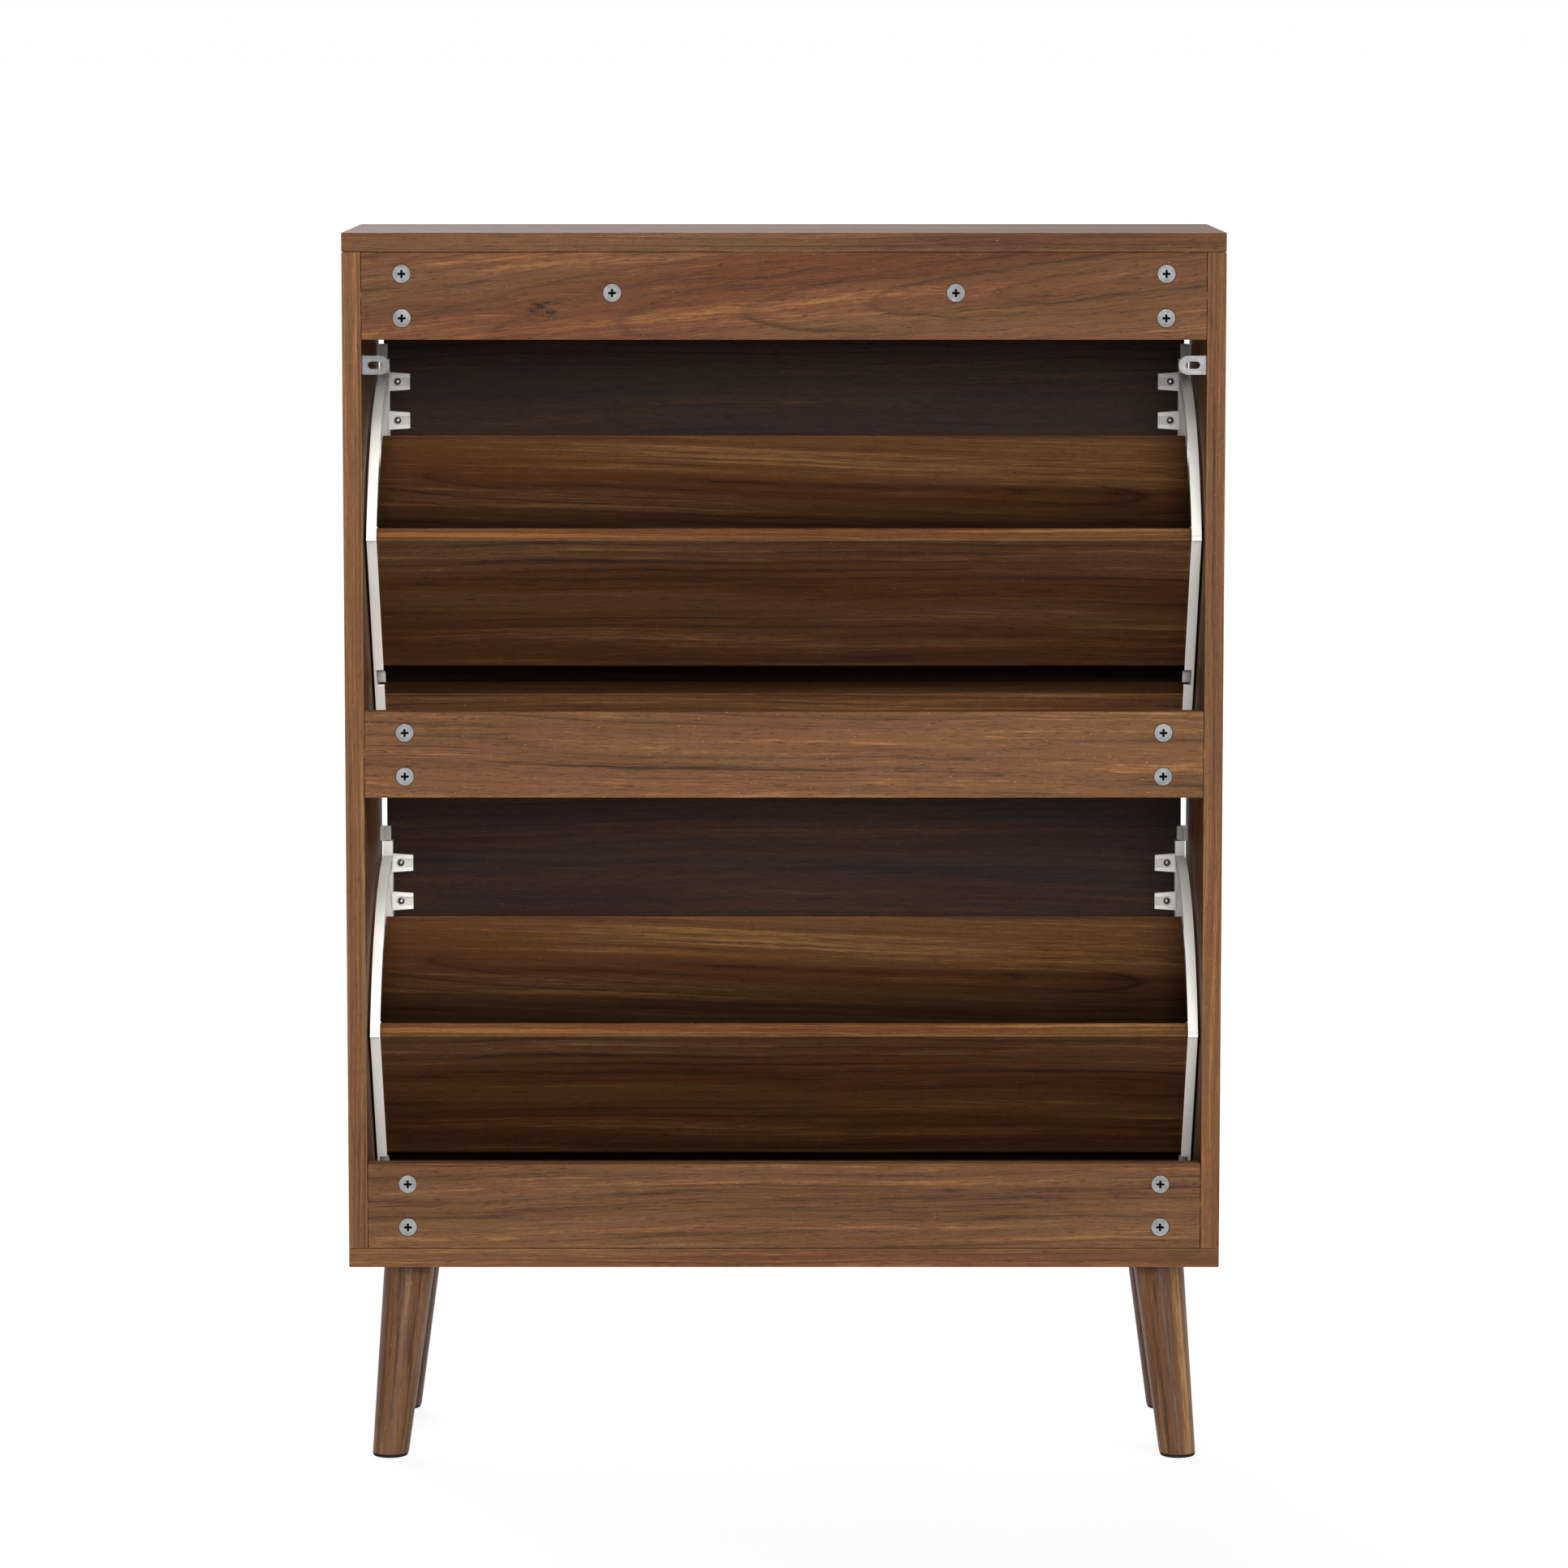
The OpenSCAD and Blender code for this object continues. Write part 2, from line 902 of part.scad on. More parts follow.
module lower_door() {
    door(LOWER);
}

module upper_shelf() {
    shelf(UPPER);
}

module lower_shelf() {
    shelf(LOWER);
}

module upper_toe_shelf() {
    toe_shelf(UPPER);
}

module lower_toe_shelf() {
    toe_shelf(LOWER);
}

module upper_rear_board() {
    rear_board(UPPER);
}

module lower_rear_board() {
    rear_board(LOWER);
}

module upper_toe_board() {
    toe_board(UPPER);
}

module lower_toe_board() {
    toe_board(LOWER);
}

// Keeps an outline behind the door and above the rack's own floor
module in_rack_space() {
    intersection() {
        children();
        translate([0, rack_floor]) square(big);
    }
}

// A bar in the rack's frame, n forward from the rear faces and u down along them
module rack_bar(n0, n1, u0, u1) {
    in_rack_outline()
        translate([-n1, -u1])
            square([n1 - n0, u1 - u0]);
}

// The bracket's flanges, seen along X
module bracket_ribs() {
    shelf_under = shelf_lip + board_t;
    toe_under = toe_shelf_from + board_t;
    in_rack_space() {
        // flange and post against the door, notched where the shelves meet the door
        difference() {
            square([rim_t, post_top]);
            rack_bar(board_t, shelf_end(shelf_under), shelf_lip - board_end_gap, shelf_under);
            rack_bar(board_t, shelf_end(toe_under), toe_shelf_from - board_end_gap, toe_under);
        }
        translate([0, post_foot]) square([post_d, post_top - post_foot]);
        // arched upper rim
        intersection() {
            translate([0, rim_centre_up])
                difference() {
                    circle(r = rim_r, $fn = 256);
                    circle(r = rim_r - rim_t, $fn = 256);
                }
            translate([0, rack_top_up]) square(big);
        }
        // channels of the two rear boards
        rack_bar(-lip_t, 0, -channel_top, rear_board_h + lip_over);
        rack_bar(board_t, board_t + lip_t, 0, shelf_lip - board_end_gap);
        rack_bar(board_t, board_t + lip_t, shelf_under + rim_t / 2, rear_board_h + lip_over);
        rack_bar(-lip_t, 0, toe_channel_from, big);
        rack_bar(board_t, board_t + lip_t, toe_channel_from, toe_shelf_from - board_end_gap);
        // ledges under the two shelves
        rack_bar(board_t, big, shelf_under, shelf_under + rim_t);
        rack_bar(board_t, big, toe_under, toe_under + rim_t);
    }
}

// The bracket's web, which closes its side below the shelf
module bracket_web() {
    in_rack_space() {
        rack_bar(-lip_t, board_t + lip_t, -channel_top, shelf_lip + board_t + rim_t);
        rack_bar(-lip_t, big, shelf_lip + board_t, toe_board_to + lip_over);
    }
}

module bracket_tab(up) {
    root_x = bracket_inner_x + cut;
    tip_x = bracket_inner_x - tab_reach;
    outline = [
        [root_x, -tab_root_h / 2], [root_x, tab_root_h / 2],
        [tip_x, tab_tip_h / 2], [tip_x, -tab_tip_h / 2]
    ];
    translate([0, 0, up])
        rotate([-90, 0, 0])
            difference() {
                linear_extrude(tab_t) polygon(outline);
                // seat for the screw's head, open towards the tip
                translate([tip_x + tab_screw_in, 0, tab_floor_t]) {
                    cylinder(h = tab_t, r = tab_seat_r);
                    translate([-tab_screw_in - cut, -tab_channel_w / 2, 0])
                        cube([tab_screw_in + cut, tab_channel_w, tab_t]);
                    translate([0, 0, -tab_floor_t - cut]) cylinder(h = tab_t, r = pilot_r);
                }
            }
}

module rack_bracket(side, unit) {
    color(PLASTIC)
        on_side(side)
            in_unit(unit)
                difference() {
                    union() {
                        along_x(bracket_inner_x, bracket_outer_x) bracket_ribs();
                        along_x(bracket_outer_x - web_t, bracket_outer_x) bracket_web();
                        for (up = tab_ups) bracket_tab(up);
                        // boss that holds the pivot pin, flat where it meets the door
                        along_x(bracket_outer_x - pin_inset, bracket_outer_x)
                            intersection() {
                                translate([pivot_back, pivot_up]) circle(r = boss_r);
                                square(big);
                            }
                        lug_at(lug_angle)
                            x_rod(bracket_outer_x - cut, bracket_outer_x + lug_l, lug_r);
                    }
                    translate([0, pivot_back, pivot_up])
                        x_rod(bracket_outer_x - pin_inset - cut, bracket_outer_x + cut, pin_r + fit_gap);
                    at_ledge_screws()
                        translate([0, 0, -rim_t - cut])
                            cylinder(h = rim_t + 2 * cut, r = pilot_r);
                }
}

module upper_left_rack_bracket() {
    rack_bracket(-1, UPPER);
}

module upper_right_rack_bracket() {
    rack_bracket(1, UPPER);
}

module lower_left_rack_bracket() {
    rack_bracket(-1, LOWER);
}

module lower_right_rack_bracket() {
    rack_bracket(1, LOWER);
}

module pivot_pins(unit) {
    color(ZINC)
        for (side = [-1, 1])
            on_side(side)
                in_unit(unit)
                    translate([0, pivot_back, pivot_up])
                        x_rod(bracket_outer_x - pin_inset, bracket_outer_x + pin_reach, pin_r);
}

module upper_pivot_pins() {
    pivot_pins(UPPER);
}

module lower_pivot_pins() {
    pivot_pins(LOWER);
}

module rack_screws(unit) {
    color(ZINC)
        in_unit(unit) {
            at_tab_screws() pan_screw(tab_screw_l);
            at_ledge_screws() pan_screw(board_t - rim_t);
        }
}

module upper_rack_screws() {
    rack_screws(UPPER);
}

module lower_rack_screws() {
    rack_screws(LOWER);
}

top_panel();
bottom_panel();
left_side_panel();
right_side_panel();
top_back_rail();
middle_back_rail();
bottom_back_rail();
rail_cam_nuts();
rail_cam_bolts();
side_cam_nuts();
side_cam_bolts();
wood_dowels();
front_left_leg();
front_right_leg();
rear_left_leg();
rear_right_leg();
front_left_leg_plate();
front_right_leg_plate();
rear_left_leg_plate();
rear_right_leg_plate();
front_left_foot_glide();
front_right_foot_glide();
rear_left_foot_glide();
rear_right_foot_glide();
leg_hanger_bolts();
leg_plate_screws();
left_wall_bracket();
right_wall_bracket();
wall_bracket_screws();
upper_left_pivot_plate();
upper_right_pivot_plate();
lower_left_pivot_plate();
lower_right_pivot_plate();
pivot_plate_screws();
upper_left_door_stop();
upper_right_door_stop();
lower_left_door_stop();
lower_right_door_stop();
door_stop_screws();
upper_door();
upper_left_rack_bracket();
upper_right_rack_bracket();
upper_shelf();
upper_rear_board();
upper_toe_shelf();
upper_toe_board();
upper_pivot_pins();
upper_rack_screws();
lower_door();
lower_left_rack_bracket();
lower_right_rack_bracket();
lower_shelf();
lower_rear_board();
lower_toe_shelf();
lower_toe_board();
lower_pivot_pins();
lower_rack_screws();
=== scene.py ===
"""Finished look of the shoe cabinet, seen from behind, and the studio round it.

Veneered boards, moulded rack brackets, cam nuts, wall brackets, screws and turned legs take the place of the CAD
nodes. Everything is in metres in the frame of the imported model: X is the width, the doors face -Y and Z is up.
"""

import json
import math

import bmesh
import bpy
from mathutils import Matrix, Vector
from mathutils.bvhtree import BVHTree
from mathutils.geometry import tessellate_polygon


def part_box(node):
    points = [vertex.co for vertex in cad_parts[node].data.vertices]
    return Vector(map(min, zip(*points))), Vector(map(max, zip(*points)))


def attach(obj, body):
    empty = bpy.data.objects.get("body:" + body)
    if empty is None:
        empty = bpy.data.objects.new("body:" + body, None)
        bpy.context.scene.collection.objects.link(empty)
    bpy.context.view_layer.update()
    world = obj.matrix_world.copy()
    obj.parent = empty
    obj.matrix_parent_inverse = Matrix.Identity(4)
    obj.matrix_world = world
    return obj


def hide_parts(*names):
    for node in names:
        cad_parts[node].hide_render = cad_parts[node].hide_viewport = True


MM = 0.001

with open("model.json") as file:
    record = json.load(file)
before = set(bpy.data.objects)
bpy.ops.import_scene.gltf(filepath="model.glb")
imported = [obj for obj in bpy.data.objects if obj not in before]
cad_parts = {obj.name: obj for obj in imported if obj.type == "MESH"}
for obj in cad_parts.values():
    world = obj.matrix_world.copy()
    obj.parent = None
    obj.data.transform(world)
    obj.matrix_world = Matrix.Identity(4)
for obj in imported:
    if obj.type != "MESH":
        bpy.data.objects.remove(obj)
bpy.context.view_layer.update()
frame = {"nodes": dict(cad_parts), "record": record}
BODY = {node: body for body, nodes in frame["record"]["behaviour"]["bodies"].items() for node in nodes}

# ---------------------------------------------------------------- sizes shared with the CAD
RACK_LEAN = math.radians(35)
SCREW_HEAD_H = 2 * MM
INNER_SCREW_L = 14.5 * MM
TAB_SCREW_D = 6 * MM
CAM_R = 7.5 * MM
CAM_DEPTH = 12.5 * MM
CAM_INSET = 32.5 * MM
CAM_PITCH = 35 * MM
MIDDLE_CAM_X = 136 * MM
SIDE_CAM_Y = (-70 * MM, 70 * MM)
CUTOUT_W = 90 * MM
CUTOUT_DEPTH = 27 * MM
LEG_TOP_D = 41 * MM
LEG_FOOT_D = 29 * MM
LEG_H = 160 * MM
LEG_PLATE_CHAMFER = 5 * MM
LEG_PLATE_HOLE_R = 4.7 * MM
SPLAY = (16 * MM, 19 * MM)
STRAP_T = 1.8 * MM
STRAP_H = 15 * MM
STRAP_SLOT_X = 11.2 * MM
STRAP_SLOT_R = 2.85 * MM
BEND_R = 1.2 * MM
UNITS = ("upper", "lower")
SIDES = {"left": -1, "right": 1}

# ---------------------------------------------------------------- details of the visual model
EASE = 0.4 * MM
JOINT = 0.5 * MM
CUTOUT_STEPS = 28
BEND_STEPS = 8
LEG_SEGMENTS = 72
LEG_LIFT = 0.8 * MM  # the wood starts this much higher than in the CAD, so that the glide shows
LEG_SHADE_H = 11 * MM  # the bottom panel's shade fades out this far down the leg
LEG_SHADE = 0.35
LEG_WARMTH = 0.3
LEG_RINGS = 12
SHARP_ANGLE = math.radians(40)
WELD = 1e-6
FLAT = 0.97  # a face whose normal is less square to the board than this is on an eased edge


# ---------------------------------------------------------------- node graphs
class Graph:
    """Builds one material's nodes; every method returns an output socket."""

    def __init__(self, name):
        self.material = bpy.data.materials.new(name)
        self.material.use_nodes = True
        self.tree = self.material.node_tree
        self.tree.nodes.clear()

    def node(self, kind, inputs=None, **settings):
        made = self.tree.nodes.new("ShaderNode" + kind)
        for key, value in settings.items():
            setattr(made, key, value)
        for key, value in (inputs or {}).items():
            if isinstance(value, bpy.types.NodeSocket):
                self.tree.links.new(value, made.inputs[key])
            else:
                made.inputs[key].default_value = value
        return made

    def attribute(self, name, output="Vector"):
        return self.node("Attribute", attribute_name=name).outputs[output]

    def vector(self, operation, a, b):
        return self.node("VectorMath", {0: a, 1: b}, operation=operation).outputs[0]

    def maths(self, operation, a, b=0.0, c=0.0, clamp=False):
        return self.node("Math", {0: a, 1: b, 2: c}, operation=operation, use_clamp=clamp).outputs[0]

    def noise(self, at, stretch, detail=2.0, roughness=0.5):
        """Noise with its own number of features per metre along each axis."""
        scaled = self.vector("MULTIPLY", at, stretch)
        inputs = {"Vector": scaled, "Scale": 1.0, "Detail": detail, "Roughness": roughness}
        return self.node("TexNoise", inputs).outputs["Fac"]

    def band(self, value, low, high, to_low=0.0, to_high=1.0):
        """Maps low..high smoothly to to_low..to_high."""
        inputs = {"Value": value, "From Min": low, "From Max": high, "To Min": to_low, "To Max": to_high}
        return self.node("MapRange", inputs, interpolation_type="SMOOTHSTEP").outputs[0]

    def mix(self, factor, a, b, blend="MIX"):
        made = self.node("Mix", {"Factor": factor}, data_type="RGBA", blend_type=blend)
        for key, value in ((6, a), (7, b)):
            if isinstance(value, bpy.types.NodeSocket):
                self.tree.links.new(value, made.inputs[key])
            else:
                made.inputs[key].default_value = value
        return made.outputs[2]

    def ramp(self, value, stops):
        made = self.node("ValToRGB", {"Fac": value})
        elements = made.color_ramp.elements
        elements[0].position, elements[0].color = stops[0]
        elements[1].position, elements[1].color = stops[-1]
        for position, colour in stops[1:-1]:
            elements.new(position).color = colour
        return made.outputs["Color"]

    def bump(self, height, distance, strength):
        inputs = {"Height": height, "Distance": distance, "Strength": strength}
        return self.node("Bump", inputs).outputs["Normal"]

    def surface(self, colour, roughness, normal=None, **constants):
        """Ends the graph in a Principled shader; constants are set on its own sockets."""
        inputs = {"Base Color": colour, "Roughness": roughness}
        if normal is not None:
            inputs["Normal"] = normal
        shader = self.node("BsdfPrincipled", inputs)
        for key, value in constants.items():
            shader.inputs[key.replace("_", " ")].default_value = value
        self.node("OutputMaterial", {"Surface": shader.outputs[0]})
        return self.material


def srgb(red, green, blue):
    """A colour given in 0..255 sRGB, as linear RGBA."""

    def linear(value):
        value /= 255
        return value / 12.92 if value <= 0.04045 else ((value + 0.055) / 1.055) ** 2.4

    return (linear(red), linear(green), linear(blue), 1.0)


# ---------------------------------------------------------------- materials
def walnut(name, deepest, dark, middle, light, gloss, spread, marks, specular):
    """Walnut whose grain follows attributes of the mesh.

    "grain" is the place along, across and through the board, "figure" its seed, lightness and warmth, "knot" the
    place from a knot and the knot's strength, and "edge" is 1 on the eased edges. lightness carries painted shade and
    light on some boards, and "edge" a painted highlight. gloss is the least roughness, spread the half width of the
    noise values that run from dark to light, marks how strongly ring lines and pores show, and specular the shader's
    specular level.
    """
    g = Graph(name)
    grain = g.attribute("grain")
    figure = g.node("SeparateXYZ", {0: g.attribute("figure")})
    seed, lightness, warmth = figure.outputs[0], figure.outputs[1], figure.outputs[2]
    shift = g.vector("MULTIPLY", g.node("CombineXYZ", {0: seed, 1: seed, 2: seed}).outputs[0], (0.83, 0.57, 0.31))
    at = g.vector("ADD", grain, shift)

    # a knot pushes the grain apart round itself
    knot = g.node("SeparateXYZ", {0: g.attribute("knot")})
    knot_x, knot_y = g.maths("MULTIPLY", knot.outputs[0], 52.0), g.maths("MULTIPLY", knot.outputs[1], 110.0)
    knot_far = g.maths("ADD", g.maths("MULTIPLY", knot_x, knot_x), g.maths("MULTIPLY", knot_y, knot_y))
    near_knot = g.maths("MULTIPLY", g.maths("EXPONENT", g.maths("MULTIPLY", knot_far, -1.0)), knot.outputs[2])
    push = g.maths("MULTIPLY", g.maths("MULTIPLY", knot.outputs[1], near_knot), -0.85)

    # slow waves that the whole grain follows
    wave = g.maths("SUBTRACT", g.noise(at, (3.0, 12.0, 12.0), 2.0, 0.45), 0.5)
    ripple = g.maths("SUBTRACT", g.noise(at, (26.0, 60.0, 60.0), 3.0, 0.6), 0.5)
    wildness = g.maths("MULTIPLY_ADD", knot.outputs[2], 0.0040, 0.0016)
    sway = g.maths("ADD", g.maths("MULTIPLY", wave, 0.020), g.maths("MULTIPLY", ripple, wildness))
    sway = g.maths("ADD", sway, push)
    swayed = g.vector("ADD", at, g.node("CombineXYZ", {1: sway}).outputs[0])

    # growth rings of a trunk whose axis slowly leaves the board
    parts = g.node("SeparateXYZ", {0: grain})
    across = g.maths("ADD", parts.outputs[1], sway)
    depth = g.maths("MULTIPLY", parts.outputs[0], 0.085)
    radius = g.maths("SQRT", g.maths("ADD", g.maths("MULTIPLY", across, across), g.maths("MULTIPLY", depth, depth)))
    ring = g.maths("FRACT", g.maths("MULTIPLY", radius, 118.0))
    line = g.ramp(ring, [(0.0, (0.30,) * 3 + (1,)), (0.06, (0, 0, 0, 1)), (0.55, (0.04,) * 3 + (1,)),
                         (0.84, (0.34,) * 3 + (1,)), (0.94, (1, 1, 1, 1)), (1.0, (0.30,) * 3 + (1,))])
    shown = g.maths("MAXIMUM", near_knot, g.maths("MULTIPLY", knot.outputs[2], 0.5))
    shown = g.maths("MAXIMUM", shown, g.band(g.noise(at, (3.0, 26.0, 26.0), 2.0), 0.42, 0.62, 0.04, 1.0))
    line = g.maths("MULTIPLY", line, shown)

    broad = g.noise(swayed, (1.6, 34.0, 34.0), 3.0, 0.55)
    streak = g.noise(swayed, (2.6, 165.0, 165.0), 3.0, 0.58)
    fibre = g.noise(swayed, (34.0, 900.0, 900.0), 3.0, 0.65)
    speckle = g.noise(at, (380.0, 1100.0, 1100.0), 2.0, 0.6)
    mixed = g.maths("ADD", g.maths("MULTIPLY", broad, 0.30), g.maths("MULTIPLY", streak, 0.34))
    mixed = g.maths("ADD", mixed, g.maths("ADD", g.maths("MULTIPLY", fibre, 0.30), g.maths("MULTIPLY", speckle, 0.06)))
    colour = g.ramp(mixed, [(0.505 - spread, dark), (0.485, middle), (0.525, middle), (0.505 + spread, light)])

    # patches that lean to red and to olive
    hue = g.band(g.noise(swayed, (2.0, 24.0, 24.0), 2.0), 0.38, 0.62)
    redness = g.maths("MULTIPLY", g.maths("ADD", hue, g.maths("SUBTRACT", warmth, 0.5)), 0.45, clamp=True)
    colour = g.mix(redness, colour, srgb(142, 86, 50), "OVERLAY")
    colour = g.mix(g.maths("MULTIPLY", line, marks), colour, deepest)

    # open pores, short dark dashes along the grain, and a few pale flecks
    pore = g.band(g.noise(swayed, (110.0, 1350.0, 1350.0), 2.0), 0.59, 0.70)
    colour = g.mix(g.maths("MULTIPLY", pore, marks), colour, deepest)
    fleck = g.band(g.noise(at, (520.0, 1200.0, 1200.0), 0.0), 0.845, 0.875)
    colour = g.mix(g.maths("MULTIPLY", fleck, 0.6), colour, srgb(170, 138, 100))

    blot = g.band(g.noise(at, (110.0, 260.0, 260.0), 4.0, 0.7), 0.40, 0.62)
    core = g.band(g.maths("MULTIPLY", near_knot, blot), 0.30, 0.75)
    colour = g.mix(g.maths("MULTIPLY", core, 0.80), colour, deepest)
    # painted highlight: the eased edges are lightened in patches towards the light colour
    edge_highlight_patches = g.band(g.noise(at, (60.0, 60.0, 60.0), 2.0), 0.35, 0.65, 0.1, 0.55)
    colour = g.mix(g.maths("MULTIPLY", g.attribute("edge", "Fac"), edge_highlight_patches), colour, light)
    lightness = g.maths("MAXIMUM", lightness, 0.12)
    shade = g.node("CombineXYZ", {0: lightness, 1: lightness, 2: lightness}).outputs[0]
    colour = g.vector("MULTIPLY", colour, shade)

    relief = g.maths("SUBTRACT", g.maths("MULTIPLY", fibre, 0.5), g.maths("ADD", pore, g.maths("MULTIPLY", line, 0.2)))
    normal = g.bump(relief, 0.00007, 0.6)
    roughness = g.maths("ADD", g.maths("MULTIPLY", streak, 0.16), g.maths("MULTIPLY", pore, 0.10))
    roughness = g.maths("ADD", roughness, gloss)
    return g.surface(colour, roughness, normal, Specular_IOR_Level=specular)


def moulded_plastic(name, low, high, speck, shadow, depth):
    """Plastic clouded from low to high, with specks, and painted shade in the shadow colour, as strong as depth, where
    corners are closed in.
    """
    g = Graph(name)
    at = g.node("TexCoord").outputs["Object"]
    cloud = g.noise(at, (9.0, 9.0, 9.0), 3.0)
    grit = g.noise(at, (2600.0, 2600.0, 2600.0), 2.0, 0.6)
    colour = g.mix(g.band(cloud, 0.3, 0.7), low, high)
    colour = g.mix(g.maths("MULTIPLY", g.band(grit, 0.5, 0.75), 0.16), colour, speck)
    # painted shade in closed-in corners and recesses
    colour = g.mix(g.maths("MULTIPLY", g.attribute("occlusion_shade", "Fac"), depth), colour, shadow)
    roughness = g.band(cloud, 0.3, 0.7, 0.42, 0.5)
    return g.surface(colour, roughness, g.bump(grit, 0.00003, 0.4), Subsurface_Weight=0.05, Subsurface_Scale=0.002)


def metal(name, colour, worn, low, high, metallic=1.0, specular=0.5):
    """Plated metal with a cloudy finish, whose roughness runs from low to high, and fine scratches."""
    g = Graph(name)
    at = g.node("TexCoord").outputs["Object"]
    cloud = g.noise(at, (120.0, 120.0, 120.0), 4.0, 0.6)
    grit = g.noise(at, (2200.0, 2200.0, 2200.0), 2.0, 0.65)
    scratch = g.noise(at, (300.0, 2600.0, 4200.0), 2.0)
    tone = g.mix(g.band(cloud, 0.35, 0.65), colour, worn)
    tone = g.mix(g.maths("MULTIPLY", g.band(scratch, 0.55, 0.7), 0.25), tone, worn)
    # painted shade in closed-in corners and recesses
    tone = g.mix(g.maths("MULTIPLY", g.attribute("occlusion_shade", "Fac"), 0.8), tone, srgb(30, 29, 28))
    roughness = g.band(cloud, 0.3, 0.7, low, high)
    return g.surface(tone, roughness, g.bump(grit, 0.00002, 0.5), Metallic=metallic, Specular_IOR_Level=specular)


def beech():
    g = Graph("beech")
    at = g.node("TexCoord").outputs["Object"]
    fibre = g.noise(at, (900.0, 900.0, 900.0), 3.0)
    colour = g.mix(g.band(fibre, 0.35, 0.65), srgb(196, 160, 112), srgb(214, 182, 134))
    return g.surface(colour, g.band(fibre, 0.3, 0.7, 0.55, 0.7), g.bump(fibre, 0.00005, 0.5))


def glide_plastic():
    g = Graph("black_glide_plastic")
    at = g.node("TexCoord").outputs["Object"]
    grit = g.noise(at, (1800.0, 1800.0, 1800.0), 2.0)
    colour = g.mix(g.band(grit, 0.4, 0.7), srgb(9, 9, 9), srgb(20, 19, 19))
    return g.surface(colour, g.band(grit, 0.3, 0.7, 0.6, 0.75), g.bump(grit, 0.00003, 0.4), Specular_IOR_Level=0.12)


VENEER = walnut("walnut_veneer_grain", srgb(24, 13, 8), srgb(56, 35, 22), srgb(89, 59, 35), srgb(132, 94, 56),
                gloss=0.42, spread=0.125, marks=0.58, specular=0.07)
LEG_WOOD = walnut("walnut_leg_grain", srgb(28, 18, 13), srgb(52, 36, 25), srgb(84, 59, 38), srgb(124, 91, 58),
                  gloss=0.27, spread=0.105, marks=0.34, specular=0.12)
# the fourth colour is the painted shade of closed-in corners
PLASTIC = moulded_plastic("grey_moulded_plastic", srgb(206, 201, 194), srgb(214, 209, 203), srgb(176, 170, 164),
                          srgb(70, 63, 56), depth=0.85)
# a darker copy of the grey plastic: painted shade on the door stops, which sit under the top rail
SHADED_STOP_PLASTIC = moulded_plastic("shaded_moulded_plastic", srgb(134, 129, 123), srgb(144, 139, 133), srgb(112, 107, 101),
                               srgb(60, 55, 50), depth=0.75)
ZINC = metal("zinc_plate", srgb(107, 107, 107), srgb(95, 95, 95), 0.46, 0.60, metallic=0.35, specular=0.3)
STRAP_STEEL = metal("plated_strap_steel", srgb(126, 126, 126), srgb(114, 114, 114), 0.55, 0.68, metallic=0.15,
                    specular=0.2)
# near-black painted shade for the inside of the cross recesses of cam nuts and screws
RECESS_SHADE = metal("painted_recess_shade", srgb(5, 5, 5), srgb(3, 3, 3), 0.7, 0.9, metallic=0.0, specular=0.05)
SCREW_STEEL = metal("screw_steel", srgb(168, 168, 166), srgb(148, 148, 146), 0.30, 0.45)
BLACK_STEEL = metal("black_steel", srgb(24, 23, 23), srgb(40, 39, 38), 0.45, 0.6, metallic=0.4)
BLACK_SCREW = metal("black_screw", srgb(18, 18, 18), srgb(30, 29, 28), 0.10, 0.18, metallic=0.0, specular=0.9)
GLIDE = glide_plastic()
BEECH = beech()


# ---------------------------------------------------------------- outlines: closed lists of 2D points
def rectangle(width, height, radius, steps=3):
    """Centred rectangle with rounded corners, anticlockwise."""
    points = []
    for quarter, (x, y) in enumerate(((1, 1), (-1, 1), (-1, -1), (1, -1))):
        for step in range(steps + 1):
            angle = math.radians(90 * (quarter + step / steps))
            points.append(Vector((x * (width / 2 - radius) + radius * math.cos(angle),
                                  y * (height / 2 - radius) + radius * math.sin(angle))))
    return points


def circle(radius, centre=(0, 0), segments=64):
    """Anticlockwise, from the +X side."""
    turn = 2 * math.pi / segments
    return [Vector((centre[0] + radius * math.cos(turn * i), centre[1] + radius * math.sin(turn * i)))
            for i in range(segments)]


def half_circle(x, radius, start, step):
    """Half a turn round (x, 0), from the start angle in degrees."""
    return [Vector((x + radius * math.cos(a), radius * math.sin(a)))
            for a in [math.radians(start + step * i) for i in range(180 // step + 1)]]


def cross(length, width):
    """A cross recess's outline, its arm ends a little pointed."""
    long, short, point = length / 2, width / 2, length / 2 + width * 0.22
    arm = [Vector((short, short)), Vector((short, long)), Vector((0, point)), Vector((-short, long))]
    return [Matrix.Rotation(math.radians(90 * quarter), 2) @ p for quarter in range(4) for p in arm]


def inset(loop, distance):
    """Moves a loop to its left, which is into the material, mitred at its corners."""
    moved = []
    for i, here in enumerate(loop):
        before, after = (here - loop[i - 1]).normalized(), (loop[(i + 1) % len(loop)] - here).normalized()
        left, next_left = Vector((-before.y, before.x)), Vector((-after.y, after.x))
        moved.append(here + (left + next_left) * (distance / (1 + left.dot(next_left))))
    return moved


# ---------------------------------------------------------------- mesh building
def ring_of(bm, loop, height):
    """The vertices of a loop at one height."""
    return [bm.verts.new((p.x, p.y, height)) for p in loop]


def bridge(bm, low, high):
    """Joins two rings of as many vertices."""
    count = len(low)
    for i in range(count):
        bm.faces.new((low[i], low[(i + 1) % count], high[(i + 1) % count], high[i]))


def cap(bm, rings):
    """Closes rings that lie in one plane: the first is the outside and the rest are holes."""
    flat = [vert for ring in rings for vert in ring]
    for triangle in tessellate_polygon([[vert.co for vert in ring] for ring in rings]):
        bm.faces.new([flat[i] for i in triangle])


